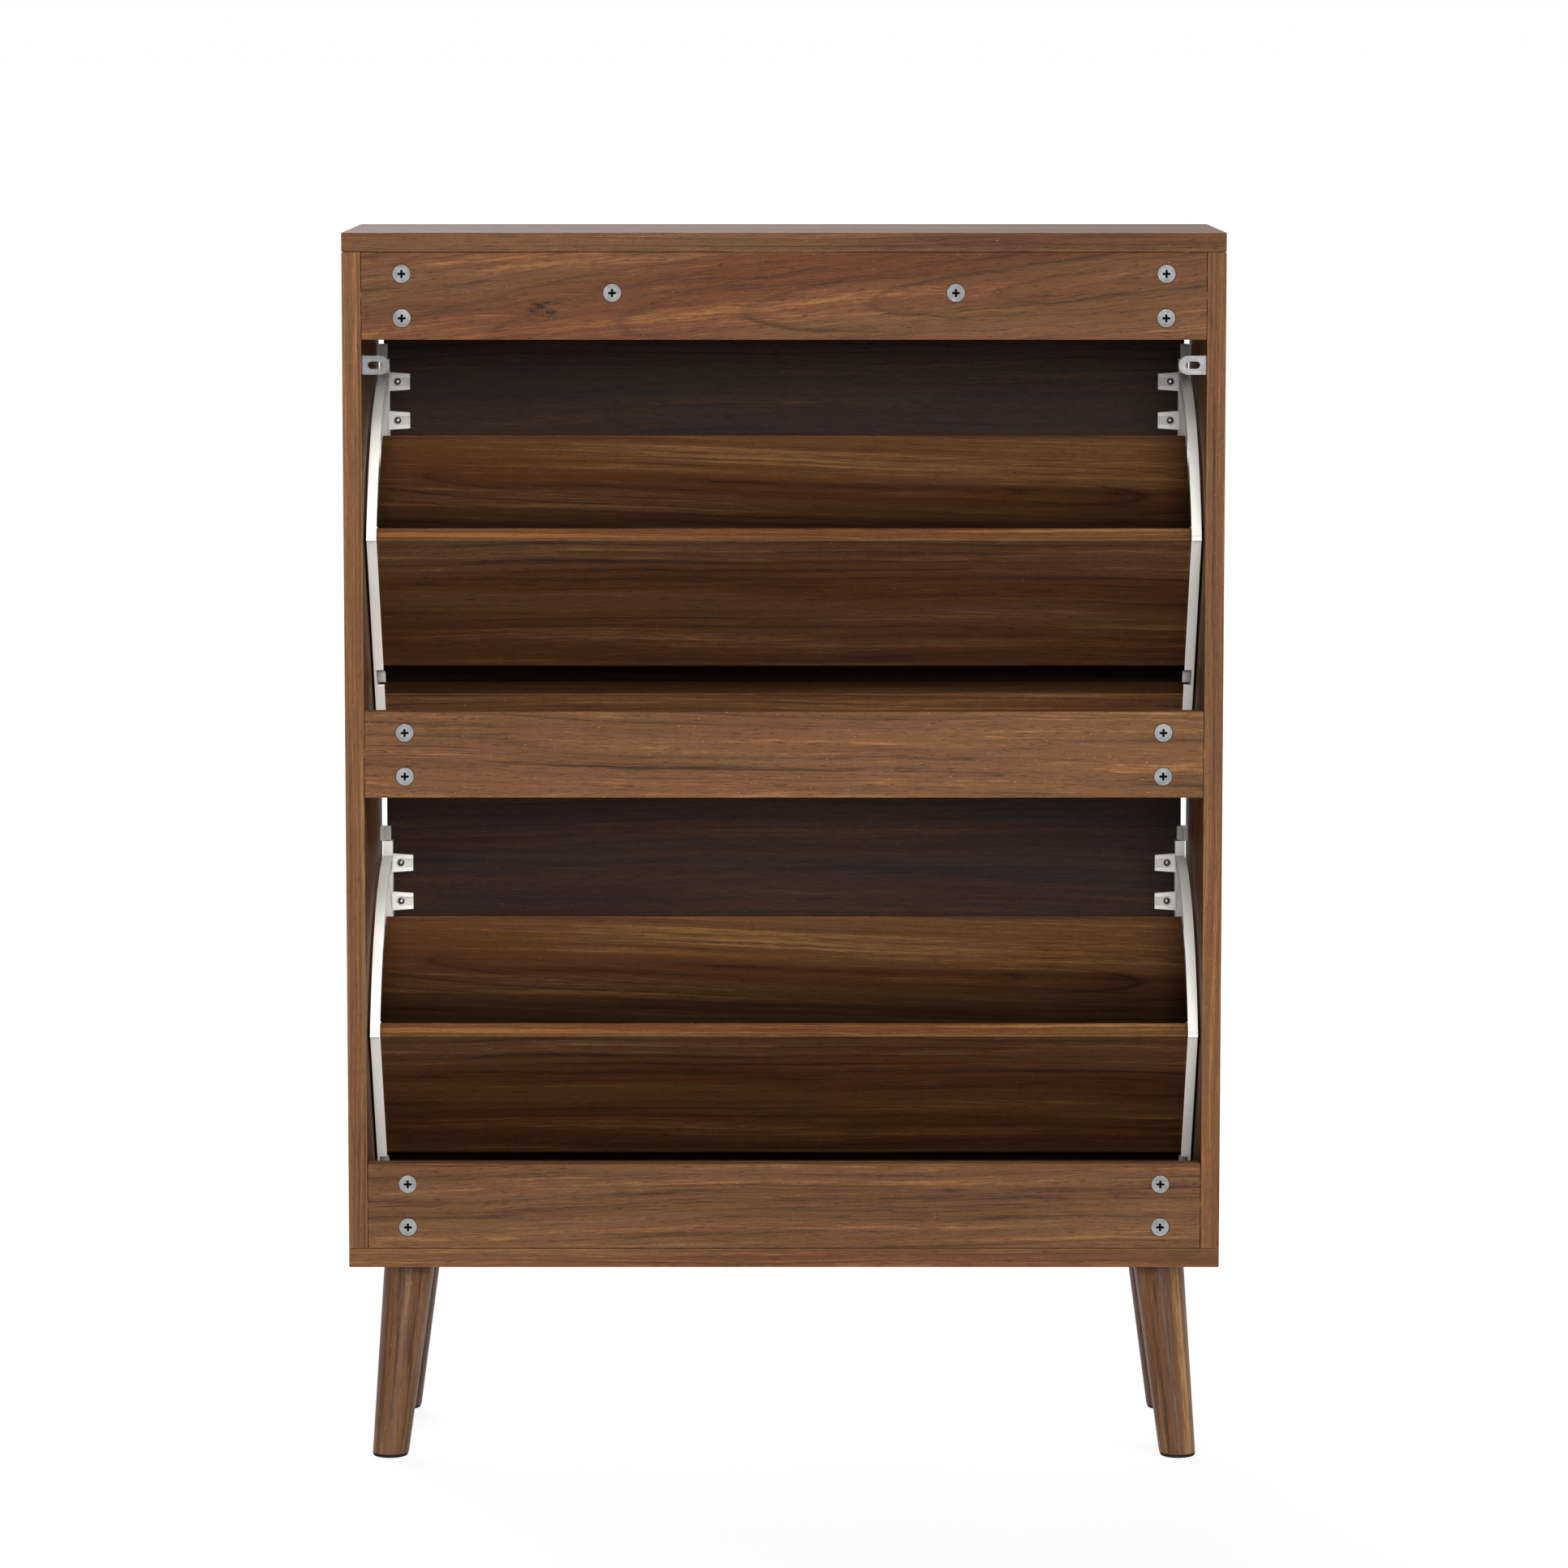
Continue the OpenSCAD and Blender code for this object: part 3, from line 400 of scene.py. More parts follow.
def eased_levels(low, high, ease, steps=3):
    """(height, inset) pairs up a wall whose two edges are rounded over."""
    angles = [math.radians(90 * step / steps) for step in range(steps + 1)]
    bottom = [(low + ease * (1 - math.sin(a)), ease * (1 - math.cos(a))) for a in reversed(angles)]
    top = [(high - ease * (1 - math.sin(a)), ease * (1 - math.cos(a))) for a in angles]
    return bottom + top


def slab(bm, outline, low, high, ease, holes=()):
    """A plate with rounded-over edges. holes holds (loop, depth) pairs; a depth of None goes right through."""
    walls = [ring_of(bm, inset(outline, d), h) for h, d in eased_levels(low, high, ease)]
    for below, above in zip(walls, walls[1:]):
        bridge(bm, below, above)
    tops, bottoms = [walls[-1]], [walls[0]]
    for loop, depth in holes:
        loop = list(reversed(loop))
        floor = low if depth is None else high - depth
        levels = eased_levels(floor, high, ease)
        if depth is not None:
            levels = [(floor, 0.0)] + levels[len(levels) // 2:]
        rings = [ring_of(bm, inset(loop, d), h) for h, d in levels]
        for below, above in zip(rings, rings[1:]):
            bridge(bm, below, above)
        tops.append(rings[-1])
        if depth is None:
            bottoms.append(rings[0])
        else:
            cap(bm, [rings[0]])
    cap(bm, tops)
    cap(bm, bottoms)


def lathe(bm, profile, segments, recess=None, recess_depth=0.0):
    """Turns (radius, height) pairs, listed from the bottom up, about Z.

    recess is a loop sunk in the top, whose faces take the second material.
    """
    rings = [ring_of(bm, circle(radius, segments=segments), height) for radius, height in profile]
    for below, above in zip(rings, rings[1:]):
        bridge(bm, below, above)
    cap(bm, [rings[0]])
    if recess is None:
        cap(bm, [rings[-1]])
        return
    top = profile[-1][1]
    loop = list(reversed(recess))
    mouth = ring_of(bm, loop, top)
    floor = ring_of(bm, [p * 0.7 for p in loop], top - recess_depth)
    first = len(bm.faces)
    bridge(bm, floor, mouth)
    cap(bm, [floor])
    bm.faces.ensure_lookup_table()
    for face in bm.faces[first:]:
        face.material_index = 1
    cap(bm, [rings[-1], mouth])


def placed(bm, first, matrix):
    """Moves the vertices made since first."""
    bm.verts.ensure_lookup_table()
    bmesh.ops.transform(bm, matrix=matrix, verts=bm.verts[first:])


def basis(x_axis, y_axis, origin):
    """A frame whose X and Y lie along the given directions."""
    x_axis, y_axis = Vector(x_axis), Vector(y_axis)
    made = Matrix((x_axis, y_axis, x_axis.cross(y_axis))).transposed().to_4x4()
    made.translation = Vector(origin)
    return made


def add_piece(name, bm, materials, body, nodes):
    """Turns a bmesh into a piece of the object, in place of its CAD nodes."""
    bmesh.ops.recalc_face_normals(bm, faces=bm.faces[:])
    mesh = bpy.data.meshes.new(name)
    bm.to_mesh(mesh)
    bm.free()
    for material in materials:
        mesh.materials.append(material)
    mesh.polygons.foreach_set("use_smooth", [True] * len(mesh.polygons))
    mesh.set_sharp_from_angle(angle=SHARP_ANGLE)
    piece = bpy.data.objects.new(name, mesh)
    bpy.context.scene.collection.objects.link(piece)
    weighted = piece.modifiers.new("flat_faces", "WEIGHTED_NORMAL")
    weighted.keep_sharp = True
    weighted.mode = "FACE_AREA"
    weighted.weight = 100
    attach(piece, body)
    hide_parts(*nodes)
    return piece


def store_occlusion_shade(piece):
    """Writes how closed in each corner is, which the materials use to paint shade into recesses and inner corners."""
    reach, inward, outward = 5 * MM, 0.15 * MM, 0.05 * MM
    mesh = piece.data
    tree = BVHTree.FromPolygons([v.co for v in mesh.vertices], [p.vertices for p in mesh.polygons])
    occlusion_shade = mesh.attributes.new("occlusion_shade", "FLOAT", "CORNER")
    rays = []
    for tilt, count in ((0.35, 4), (0.8, 7), (1.2, 9)):
        for i in range(count):
            around = 2 * math.pi * (i + tilt) / count
            rays.append(Vector((math.sin(tilt) * math.cos(around), math.sin(tilt) * math.sin(around), math.cos(tilt))))
    for polygon in mesh.polygons:
        to_face = polygon.normal.to_track_quat("Z", "Y")
        for corner in polygon.loop_indices:
            here = mesh.vertices[mesh.loops[corner].vertex_index].co
            start = here + (polygon.center - here).normalized() * inward + polygon.normal * outward
            hits = [tree.ray_cast(start, to_face @ ray, reach)[3] for ray in rays]
            occlusion_shade.data[corner].value = sum(1 - hit / reach for hit in hits if hit is not None) / len(rays)


def walnut_attributes(mesh):
    """Makes the attributes that the walnut reads. All are made before any is used, as making one moves the others."""
    kinds = {"grain": "FLOAT_VECTOR", "figure": "FLOAT_VECTOR", "knot": "FLOAT_VECTOR", "edge": "FLOAT"}
    for name, kind in kinds.items():
        mesh.attributes.new(name, kind, "CORNER")
    return [mesh.attributes[name] for name in kinds]


def store_grain(mesh, place, look):
    """Writes the walnut's attributes from positions in the board's own frame.

    Faces that look along Z show the trunk cut lengthways, and edges and ends take their grain from places well apart
    from it and from each other, as their bands are of other veneer.
    """
    grain, figure, knot, edge = walnut_attributes(mesh)
    to_board = place.inverted()
    turn = to_board.to_3x3()
    lean = Matrix.Rotation(math.radians(-look["lean"]), 3, "Z")
    heart, knot_at = Vector((*look["heart"], 0)), look["knot"]
    low, high = look["lightness"]
    half = max(abs((to_board @ v.co).y) for v in mesh.vertices)
    for polygon in mesh.polygons:
        normal = turn @ polygon.normal
        sizes = [abs(n) for n in normal]
        facing = sizes.index(max(sizes))
        for corner in polygon.loop_indices:
            p = to_board @ mesh.vertices[mesh.loops[corner].vertex_index].co
            light, warmth = low + (high - low) * (p.y / half + 1) / 2, look["warmth"]
            if facing == 2:
                value = lean @ (Vector((p.x, p.y, 0)) - heart)
                value.z = 0.002 * (1 if normal.z > 0 else -1)
                # inner darkens the face along +Z; on the doors this is painted shade on the inner face
                if normal.z > 0:
                    light *= look["inner"]
                    warmth += look["inner_warmth"]
            elif facing == 1:
                value = Vector((p.x, 0.40 + p.z * look["edge_fine"], 0.05 if normal.y > 0 else -0.05))
                light = look["edge_light"]
            else:
                value = Vector((p.y, 0.44 + p.z, 0.07 if normal.x > 0 else -0.07))
                light = look["edge_light"]
            grain.data[corner].vector = value
            figure.data[corner].vector = (look["seed"], light, warmth)
            if knot_at and facing == 2:
                knot.data[corner].vector = (p.x - knot_at[0], p.y - knot_at[1], 1.0)
            edge.data[corner].value = look["wear"] if max(sizes) < FLAT else 0.0


# ---------------------------------------------------------------- veneered boards
# painted shade: the lower drawer's rear board and shelf are painted darker than the upper drawer's
DRAWER_SHADE = {"upper": 1.0, "lower": 0.86}
INNER_WARMTH = {"upper": 0.0, "lower": 0.8}
DOOR_SEED = {"upper": 7.7, "lower": 9.6}
# heart is where the trunk's axis meets the board, lean the grain's angle in degrees, lightness runs across the face
# and holds painted shade on the drawers' inner boards, and inner and inner_warmth change the face that looks along +Z
PLAIN = dict(heart=(0.0, 0.35), seed=0.0, lightness=(1.0, 1.0), inner=1.0, inner_warmth=0.0, edge_light=1.0,
             edge_fine=1.4, warmth=0.5, lean=0.0, knot=None, wear=1.0)


def board(node, x_axis, y_axis, outline=None, holes=(), gap=(0.0, 0.0), **look):
    """A veneered board in place of a CAD node.

    x_axis is the way its grain runs, y_axis goes across its face, and gap is left at the joints at its ends.
    """
    turn = basis(x_axis, y_axis, (0, 0, 0)).to_3x3()
    corners = [turn.inverted() @ v.co for v in frame["nodes"][node].data.vertices]
    low = Vector([min(c[i] for c in corners) for i in range(3)])
    high = Vector([max(c[i] for c in corners) for i in range(3)])
    size = high - low
    place = turn.to_4x4()
    place.translation = turn @ ((low + high) / 2)
    bm = bmesh.new()
    outline = outline or rectangle(size.x - 2 * gap[0], size.y - 2 * gap[1], 0.5 * MM)
    slab(bm, outline, -size.z / 2, size.z / 2, EASE, holes)
    placed(bm, 0, place)
    piece = add_piece("veneered_" + node, bm, [VENEER], BODY[node], [node])
    store_grain(piece.data, place, PLAIN | look)


X, Y, Z = (1, 0, 0), (0, 1, 0), (0, 0, 1)
MINUS_X, MINUS_Z = (-1, 0, 0), (0, 0, -1)

board("top_panel", X, Y, heart=(-0.12, 0.0), seed=1.3, edge_light=0.84, warmth=0.3)
board("bottom_panel", X, Y, heart=(0.2, 0.05), seed=2.1, edge_light=0.81, warmth=0.3)


def side_holes():
    """Bores for the cam nuts in a side panel's inner face, in the panel's own frame."""
    low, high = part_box("right_side_panel")
    inner_z, middle_y = (high.z - low.z) / 2 - CAM_INSET, (low.y + high.y) / 2
    return [(circle(CAM_R, (end * inner_z, y - middle_y)), CAM_DEPTH) for end in (-1, 1) for y in SIDE_CAM_Y]


board("left_side_panel", MINUS_Z, Y, holes=side_holes(), heart=(-0.3, 0.02), seed=3.2, gap=(JOINT, 0), warmth=-0.2,
      edge_light=0.97, edge_fine=2.2)
board("right_side_panel", Z, Y, holes=side_holes(), heart=(-0.25, -0.03), seed=4.4, gap=(JOINT, 0), warmth=-0.2,
      edge_light=1.02, edge_fine=2.2)


def rail_cams(node):
    """Where a rail's cam nuts are, as (x, z) from the rail's middle."""
    low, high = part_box(node)
    middle = (low + high) / 2
    places = [(side * (high.x - CAM_INSET), row * CAM_PITCH / 2) for side in (-1, 1) for row in (-1, 1)]
    if node.startswith("top"):
        places += [(side * MIDDLE_CAM_X, high.z - CAM_INSET - middle.z) for side in (-1, 1)]
    return places


RAILS = {
    "top_back_rail": dict(heart=(0.36, 0.02), seed=5.7, warmth=0.75, lean=5.0, lightness=(0.9, 0.9),
                          knot=(-0.192, -0.010)),
    "middle_back_rail": dict(heart=(0.1, 0.12), seed=6.1, warmth=-0.2, lean=-1.2, lightness=(0.96, 0.86)),
    "bottom_back_rail": dict(heart=(0.06, 0.1), seed=15.3, warmth=-0.2, lean=1.0, lightness=(0.8, 0.77)),
}
for rail, look in RAILS.items():
    bores = [(circle(CAM_R, (-x, z)), CAM_DEPTH) for x, z in rail_cams(rail)]
    board(rail, MINUS_X, Z, holes=bores, gap=(JOINT, JOINT), wear=0.0, **look)

for unit in UNITS:
    tone = DRAWER_SHADE[unit]
    low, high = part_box(unit + "_door")
    half_w, half_h = (high.x - low.x) / 2, (high.z - low.z) / 2
    cutout_r = ((CUTOUT_W / 2) ** 2 + CUTOUT_DEPTH**2) / (2 * CUTOUT_DEPTH)
    reach = math.asin(CUTOUT_W / 2 / cutout_r)
    turns = [reach * (1 - 2 * i / CUTOUT_STEPS) for i in range(CUTOUT_STEPS + 1)]
    scoop = [Vector((cutout_r * math.sin(a), half_h - CUTOUT_DEPTH + cutout_r - cutout_r * math.cos(a)))
             for a in turns]
    plain_loop = rectangle(2 * half_w, 2 * half_h, 0.5 * MM)
    outline = plain_loop[:4] + scoop + plain_loop[4:]
    # inner=0.21 darkens the door's inner face: painted shade inside the cabinet
    board(unit + "_door", MINUS_X, Z, heart=(0.15, 0.02), seed=DOOR_SEED[unit], outline=outline, inner=0.21,
          inner_warmth=INNER_WARMTH[unit])
    down = (0, -math.sin(RACK_LEAN), -math.cos(RACK_LEAN))
    forward = (0, -math.cos(RACK_LEAN), math.sin(RACK_LEAN))
    # painted shade and light: lightness darkens the rear board, toe board and toe shelf, runs the shelf from dark by
    # the rear board to light by the door, and edge_light paints the toe board's edges in shade
    board(unit + "_rear_board", X, down, seed=8.3, heart=(0.0, 0.1), lightness=(0.47 * tone, 0.36 * tone),
          edge_light=0.95, warmth=0.3)
    board(unit + "_toe_board", X, down, seed=9.1, heart=(0.1, 0.1), lightness=(0.8, 0.8), edge_light=0.25, warmth=0.1)
    board(unit + "_shelf", X, forward, seed=10.2, heart=(0.0, 0.02), lightness=(-0.45, 1.24 * tone), lean=3.0,
          warmth=0.1)
    board(unit + "_toe_shelf", X, forward, seed=11.6, heart=(0.0, 0.02), lightness=(0.15, 0.15))


# ---------------------------------------------------------------- cam nuts
def cam_nut(bm, matrix):
    """A nut with its face at the matrix's origin, looking along its Z."""
    first = len(bm.verts)
    r = CAM_R - 0.24 * MM
    profile = [(r - 0.3 * MM, -CAM_DEPTH + 0.1 * MM), (r, -CAM_DEPTH + 0.4 * MM), (r, -0.5 * MM),
               (r - 0.1 * MM, -0.22 * MM), (r - 0.38 * MM, -0.06 * MM), (r - 1.25 * MM, -0.06 * MM),
               (r - 1.38 * MM, -0.16 * MM), (r - 1.52 * MM, -0.16 * MM), (r - 1.66 * MM, -0.05 * MM)]
    lathe(bm, profile, 64, recess=cross(5.8 * MM, 1.9 * MM), recess_depth=2.6 * MM)
    placed(bm, first, matrix)


bm = bmesh.new()
for rail in RAILS:
    low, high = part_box(rail)
    middle = (low + high) / 2
    for x, z in rail_cams(rail):
        cam_nut(bm, basis(MINUS_X, Z, (x, high.y, middle.z + z)))
add_piece("rail_cam_nut_set", bm, [ZINC, RECESS_SHADE], "carcass", ["rail_cam_nuts"])

bm = bmesh.new()
low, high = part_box("right_side_panel")
for side in SIDES.values():
    for y in SIDE_CAM_Y:
        for z in (high.z - CAM_INSET, low.z + CAM_INSET):
            cam_nut(bm, basis((0, -side, 0), Z, (side * low.x, y, z)))
add_piece("side_cam_nut_set", bm, [ZINC, RECESS_SHADE], "carcass", ["side_cam_nuts"])


# ---------------------------------------------------------------- legs, plates and glides
def leg(end, side, foot):
    """A splayed round leg whose axis meets the floor at foot."""
    node = f"{end}_{side}_leg"
    sx, sy = SIDES[side], 1 if end == "rear" else -1
    low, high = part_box(node)[0].z + LEG_LIFT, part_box(node)[1].z
    lean = Vector((-sx * SPLAY[0], -sy * SPLAY[1], LEG_H))
    flat = Vector((lean.x, lean.y, 0)).normalized()
    beside = Vector((-flat.y, flat.x, 0))
    stretch = lean.length / LEG_H
    ease = 0.5 * MM
    heights = [(low + ease * (1 - math.sin(a)), ease * (1 - math.cos(a)))
               for a in [math.radians(90 - 18 * i) for i in range(6)]]
    heights += [(low + (high - low) * i / LEG_RINGS, 0.0) for i in range(1, LEG_RINGS)]
    heights += [(high - LEG_SHADE_H, 0.0), (high, 0.0)]
    bm = bmesh.new()
    rings = []
    for height, less in heights:
        share = height / LEG_H
        radius = (LEG_FOOT_D + (LEG_TOP_D - LEG_FOOT_D) * share) / 2 - less
        centre = foot + lean * share
        rings.append([bm.verts.new(centre + flat * (radius * stretch * math.cos(a)) + beside * (radius * math.sin(a)))
                      for a in [2 * math.pi * i / LEG_SEGMENTS for i in range(LEG_SEGMENTS)]])
    for below, above in zip(rings, rings[1:]):
        bridge(bm, below, above)
    cap(bm, [rings[0]])
    cap(bm, [rings[-1]])
    piece = add_piece("turned_" + node, bm, [LEG_WOOD], "carcass", [node])
    up = lean.normalized()
    place = basis(up, beside, foot)
    to_leg = place.inverted()
    grain, figure, _, _ = walnut_attributes(piece.data)
    seed = 12.4 + 1.7 * (sx > 0) + 3.1 * (sy > 0)
    top = (high - 2.5 * MM) * stretch
    # only the top ring is shaded, and the shade fades towards the ring below it
    for corner in piece.data.loops:
        p = to_leg @ piece.data.vertices[corner.vertex_index].co
        grain.data[corner.index].vector = (p.x * 0.3, p.y * 1.7 + 0.02, p.z * 1.7)
        figure.data[corner.index].vector = (seed, LEG_SHADE if p.x > top else 1.0, LEG_WARMTH)


for end in ("front", "rear"):
    for side in SIDES:
        glide = f"{end}_{side}_foot_glide"
        low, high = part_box(glide)
        foot = (low + high) / 2
        foot.z = 0
        leg(end, side, foot)
        bm = bmesh.new()
        lathe(bm, [(12.9 * MM, 0), (13.6 * MM, 0.25 * MM), (14.1 * MM, 0.8 * MM), (14.3 * MM, 2.4 * MM),
                   (14.1 * MM, 2.78 * MM), (1.2 * MM, 2.78 * MM), (1.2 * MM, 12.5 * MM), (0.3 * MM, 14 * MM)], 64)
        placed(bm, 0, Matrix.Translation(foot))
        add_piece("moulded_" + glide, bm, [GLIDE], "carcass", [glide])
        plate = f"{end}_{side}_leg_plate"
        low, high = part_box(plate)
        half = (high.x - low.x) / 2
        short = half - LEG_PLATE_CHAMFER
        outline = [Vector(p) for p in ((half, short), (short, half), (-short, half), (-half, short),
                                       (-half, -short), (-short, -half), (short, -half), (half, -short))]
        bm = bmesh.new()
        slab(bm, outline, low.z, high.z, EASE, [(circle(LEG_PLATE_HOLE_R), None)])
        placed(bm, 0, Matrix.Translation(((low.x + high.x) / 2, (low.y + high.y) / 2, 0)))
        add_piece("pressed_" + plate, bm, [BLACK_STEEL], "carcass", [plate])


# ---------------------------------------------------------------- wall brackets
def wall_bracket(side):
    """A flat strap with a slot at one end, bent round the rear edge of the side panel."""
    node = f"{side}_wall_bracket"
    sign = SIDES[side]
    low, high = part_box(node)
    reach, leg_l = high.x - low.x, high.y - low.y
    middle_r = BEND_R + STRAP_T / 2
    straight_a, straight_b = reach - STRAP_T - BEND_R, leg_l - STRAP_T - BEND_R
    arc = middle_r * math.pi / 2
    half = STRAP_H / 2
    end_a, end_b = -straight_a, arc + straight_b
    outline = half_circle(end_b - half, half, -90, 10) + half_circle(end_a + half, half, 90, 10)
    slot_mid, slot_r = -(STRAP_SLOT_X - STRAP_T - BEND_R), STRAP_SLOT_R
    slot = half_circle(slot_mid + slot_r, slot_r, -90, 15) + half_circle(slot_mid - slot_r, slot_r, 90, 15)
    bm = bmesh.new()
    slab(bm, outline, -STRAP_T / 2, STRAP_T / 2, 0.25 * MM, [(slot, None)])
    for i in range(BEND_STEPS + 1):
        geometry = bm.verts[:] + bm.edges[:] + bm.faces[:]
        bmesh.ops.bisect_plane(bm, geom=geometry, plane_co=(arc * i / BEND_STEPS, 0, 0), plane_no=(1, 0, 0), dist=1e-7)
    corner_x, corner_y = high.x if sign > 0 else low.x, high.y
    # rolls the flat strap round the corner, with its slotted end inward along X and its other end along -Y
    for vert in bm.verts:
        along, up, out = vert.co
        turn = min(max(along / arc, 0.0), 1.0) * math.pi / 2
        r = middle_r + out
        inward = STRAP_T + BEND_R - r * math.sin(turn)
        back = STRAP_T + BEND_R - r * math.cos(turn)
        if along < 0:
            inward -= along
        else:
            back += max(along - arc, 0.0)
        vert.co = (corner_x - sign * inward, corner_y - back, (low.z + high.z) / 2 + up)
    store_occlusion_shade(add_piece("bent_" + node, bm, [STRAP_STEEL], "carcass", [node]))


for side in SIDES:
    wall_bracket(side)


# ---------------------------------------------------------------- screws
def pan_screw(bm, matrix, length):
    """A screw with the underside of its head at the matrix's origin and its head along its Z."""
    first = len(bm.verts)
    shank = [(0.3 * MM, -length), (1.4 * MM, -length + 2 * MM), (1.4 * MM, 0)]
    head = [(2.75 * MM, 0), (2.8 * MM, 0.25 * MM), (2.8 * MM, 0.8 * MM), (2.68 * MM, 1.2 * MM), (2.4 * MM, 1.55 * MM),
            (2.0 * MM, 1.8 * MM), (1.5 * MM, 1.98 * MM)]
    lathe(bm, shank + head, 40, recess=cross(2.5 * MM, 0.9 * MM), recess_depth=1.2 * MM)
    placed(bm, first, matrix)


def solid_boxes(node):
    """The box of each separate solid in a CAD node."""
    bm = bmesh.new()
    bm.from_mesh(frame["nodes"][node].data)
    bmesh.ops.remove_doubles(bm, verts=bm.verts[:], dist=WELD)
    left, boxes = set(bm.verts), []
    while left:
        group, reach = set(), [left.pop()]
        while reach:
            vert = reach.pop()
            group.add(vert)
            for edge in vert.link_edges:
                other = edge.other_vert(vert)
                if other in left:
                    left.discard(other)
                    reach.append(other)
        low = Vector([min(v.co[i] for v in group) for i in range(3)])
        high = Vector([max(v.co[i] for v in group) for i in range(3)])
        boxes.append((low, high))
    bm.free()
    return sorted(boxes, key=lambda pair: tuple(round(c, 5) for c in pair[0]))


for unit in UNITS:
    bm = bmesh.new()
    for low, high in solid_boxes(unit + "_rack_screws"):
        middle = (low + high) / 2
        if high.z - low.z < TAB_SCREW_D:
            head = Vector((middle.x, high.y - SCREW_HEAD_H, middle.z))
            pan_screw(bm, basis(MINUS_X, Z, head), high.y - low.y - SCREW_HEAD_H)
        else:
            up_rack = Vector((0, math.sin(RACK_LEAN), math.cos(RACK_LEAN)))
            head = middle - up_rack * (INNER_SCREW_L / 2 - SCREW_HEAD_H)
            pan_screw(bm, basis(X, Vector(X).cross(up_rack), head), INNER_SCREW_L - SCREW_HEAD_H)
    # the black heads' cross recesses take the bright screw steel, a painted glint at their centres
    add_piece(unit + "_rack_screw_set", bm, [BLACK_SCREW, SCREW_STEEL], unit + "_drawer",
              [unit + "_rack_screws"])

bm = bmesh.new()
for low, high in solid_boxes("wall_bracket_screws"):
    middle = (low + high) / 2
    sign = 1 if middle.x > 0 else -1
    head_x = (low.x if sign > 0 else high.x) + sign * SCREW_HEAD_H
    pan_screw(bm, basis((0, -sign, 0), Z, (head_x, middle.y, middle.z)), high.x - low.x - SCREW_HEAD_H)
add_piece("wall_bracket_screw_set", bm, [SCREW_STEEL, RECESS_SHADE], "carcass", ["wall_bracket_screws"])


# ---------------------------------------------------------------- moulded plastic
def softened(node, width, material):
    """The CAD node's shape with small radii on its edges."""
    bm = bmesh.new()
    bm.from_mesh(frame["nodes"][node].data)
    bmesh.ops.remove_doubles(bm, verts=bm.verts[:], dist=WELD)
    bmesh.ops.dissolve_limit(bm, angle_limit=math.radians(0.4), verts=bm.verts[:], edges=bm.edges[:])
    for face in bm.faces:
        face.material_index = 0
    piece = add_piece("moulded_" + node, bm, [material], BODY[node], [node])
    store_occlusion_shade(piece)
    bevel = piece.modifiers.new("edge_radius", "BEVEL")
    bevel.width = width
    bevel.segments = 2
    bevel.limit_method = "ANGLE"
    bevel.angle_limit = SHARP_ANGLE
    bevel.use_clamp_overlap = True
    piece.modifiers.move(1, 0)


for unit in UNITS:
    for side in SIDES:
        softened(f"{unit}_{side}_rack_bracket", 0.35 * MM, PLASTIC)
        softened(f"{unit}_{side}_pivot_plate", 0.25 * MM, PLASTIC)
        softened(f"{unit}_{side}_door_stop", 0.35 * MM, SHADED_STOP_PLASTIC)

# ---------------------------------------------------------------- CAD nodes that stay
KEPT = {
    "rail_cam_bolts": ZINC,
    "side_cam_bolts": ZINC,
    "leg_hanger_bolts": ZINC,
    "leg_plate_screws": SCREW_STEEL,
    "pivot_plate_screws": SCREW_STEEL,
    "door_stop_screws": SCREW_STEEL,
    "upper_pivot_pins": ZINC,
    "lower_pivot_pins": ZINC,
    "wood_dowels": BEECH,
}
for node, material in KEPT.items():
    slots = frame["nodes"][node].data.materials
    for i in range(len(slots)):
        slots[i] = material

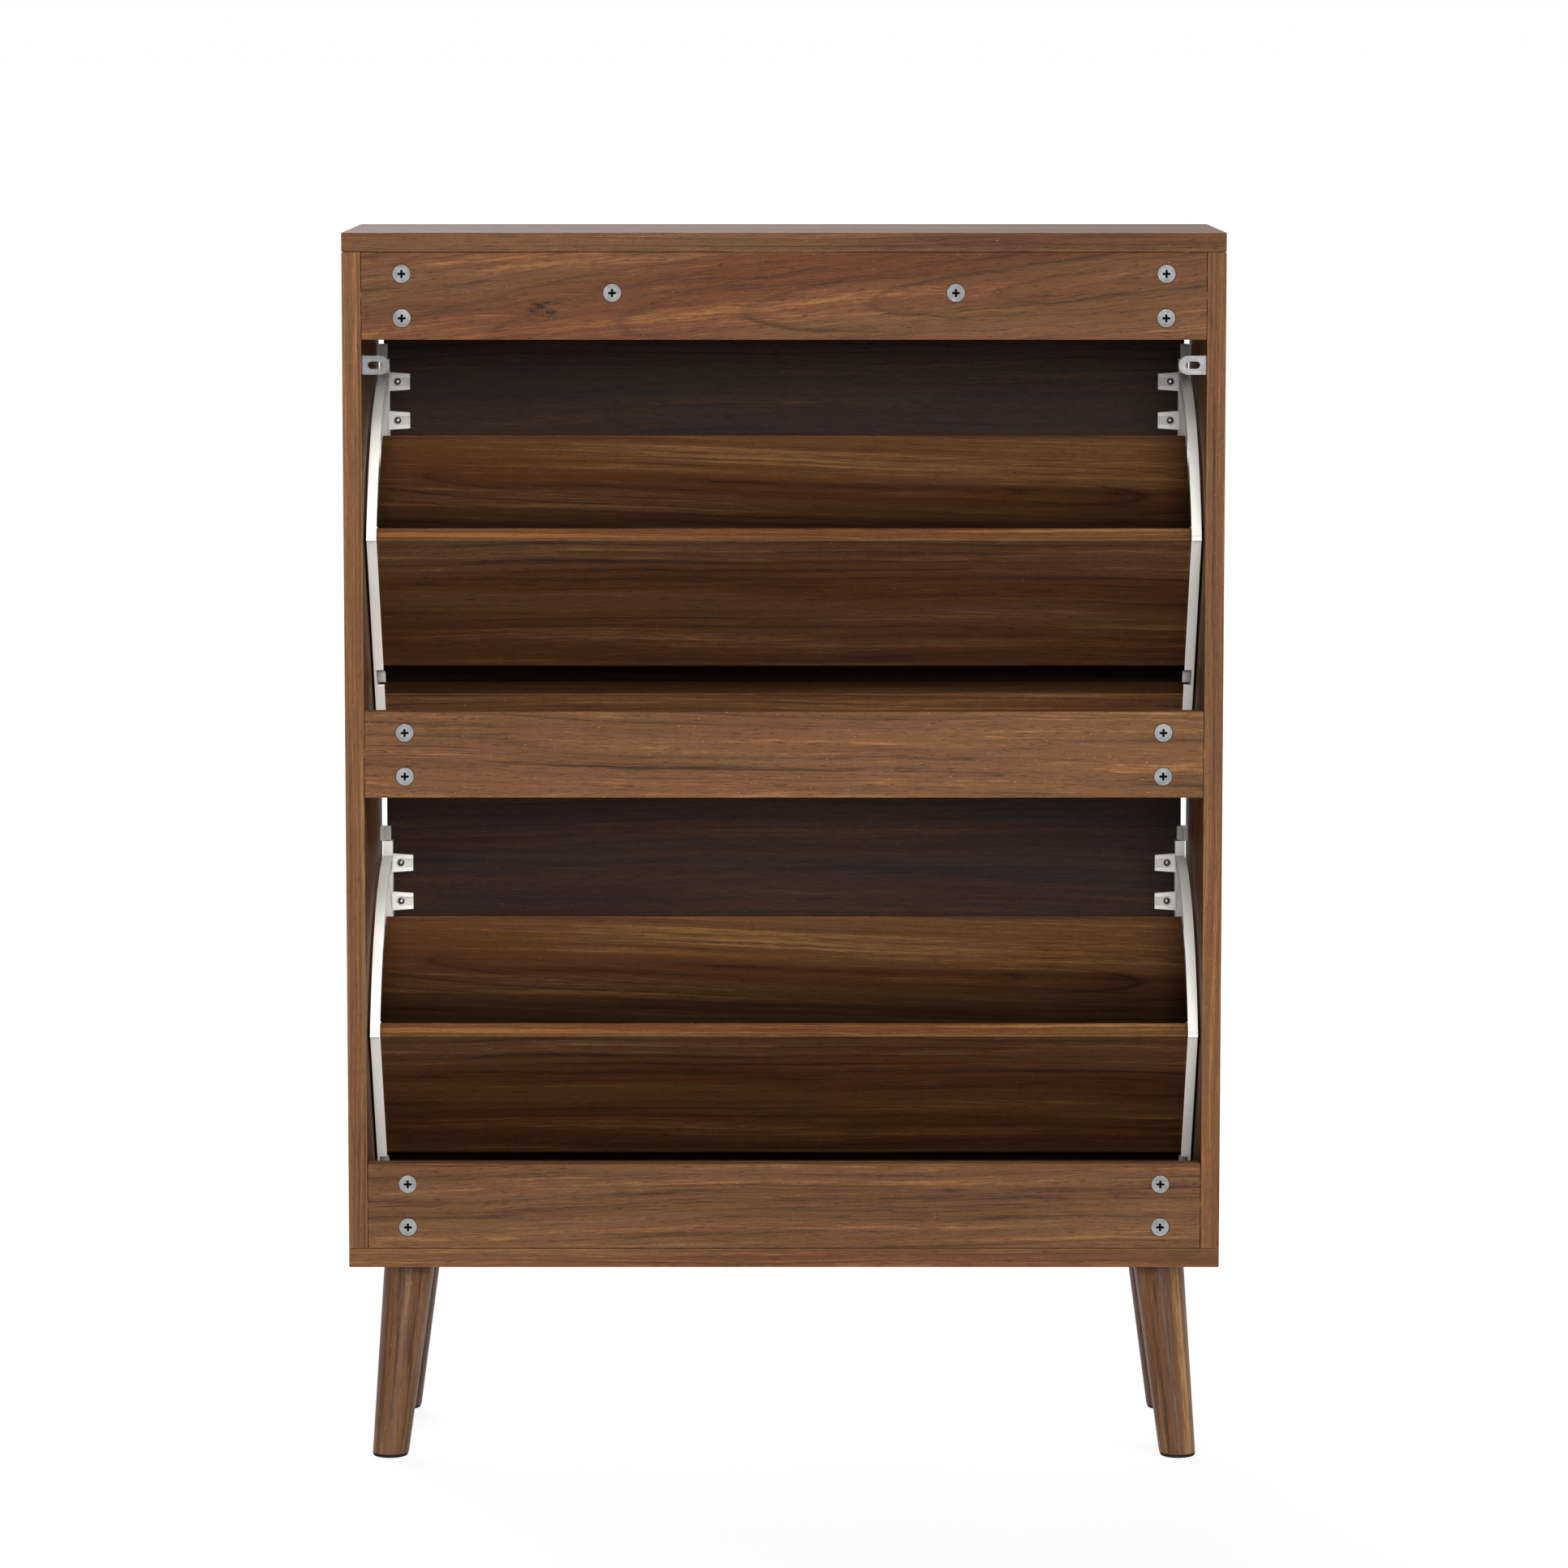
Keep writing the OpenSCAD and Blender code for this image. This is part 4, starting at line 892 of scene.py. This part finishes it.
# ---------------------------------------------------------------- studio
bm = bmesh.new()
bmesh.ops.create_grid(bm, x_segments=2, y_segments=2, size=300)
floor_mesh = bpy.data.meshes.new("studio_floor")
bm.to_mesh(floor_mesh)
bm.free()
g = Graph("pale_floor")
dust = g.noise(g.node("TexCoord").outputs["Object"], (3.0, 3.0, 3.0), 3.0)
pale = g.mix(dust, (0.10, 0.10, 0.10, 1), (0.12, 0.12, 0.12, 1))
floor_mesh.materials.append(g.surface(pale, 0.8, Specular_IOR_Level=0.1, Emission_Color=(1, 1, 1, 1),
                                      Emission_Strength=0.86))
floor = bpy.data.objects.new("studio_floor", floor_mesh)
bpy.context.scene.collection.objects.link(floor)

world = bpy.data.worlds.new("studio")
world.use_nodes = True
tree = world.node_tree
direction = tree.nodes.new("ShaderNodeTexCoord").outputs["Generated"]
split = tree.nodes.new("ShaderNodeSeparateXYZ")
tree.links.new(direction, split.inputs[0])
height = tree.nodes.new("ShaderNodeMapRange")
height.interpolation_type = "SMOOTHSTEP"
for key, value in (("From Min", 0.14), ("From Max", 0.34), ("To Min", 1.0), ("To Max", 0.12)):
    height.inputs[key].default_value = value
tree.links.new(split.outputs[2], height.inputs["Value"])
tree.links.new(height.outputs[0], tree.nodes["Background"].inputs["Strength"])
tree.nodes["Background"].inputs["Color"].default_value = (1, 1, 1, 1)
bpy.context.scene.world = world


def sun(name, towards, strength, spread):
    """A sun lamp that shines the given way, as wide as spread in degrees."""
    lamp = bpy.data.lights.new(name, "SUN")
    lamp.energy = strength
    lamp.angle = math.radians(spread)
    holder = bpy.data.objects.new(name, lamp)
    holder.rotation_euler = Vector(towards).to_track_quat("-Z", "Y").to_euler()
    bpy.context.scene.collection.objects.link(holder)


sun("key", (0.60, -0.75, -0.75), 1.9, 26)
sun("fill", (-0.42, -0.78, -0.62), 0.6, 40)
sun("low", (0.06, -1.0, -0.26), 3.4, 24)
sun("front", (-0.30, 0.75, -0.60), 3.0, 45)

camera = bpy.data.cameras.new("camera")
camera.lens = 146.7
camera.sensor_width = 36
viewer = bpy.data.objects.new("camera", camera)
viewer.location = (0, 5.184, 1.142)
viewer.rotation_euler = (math.radians(90 - 6.65), 0, math.radians(180))
bpy.context.scene.collection.objects.link(viewer)
bpy.context.scene.camera = viewer
bpy.context.scene.view_settings.view_transform = "Standard"
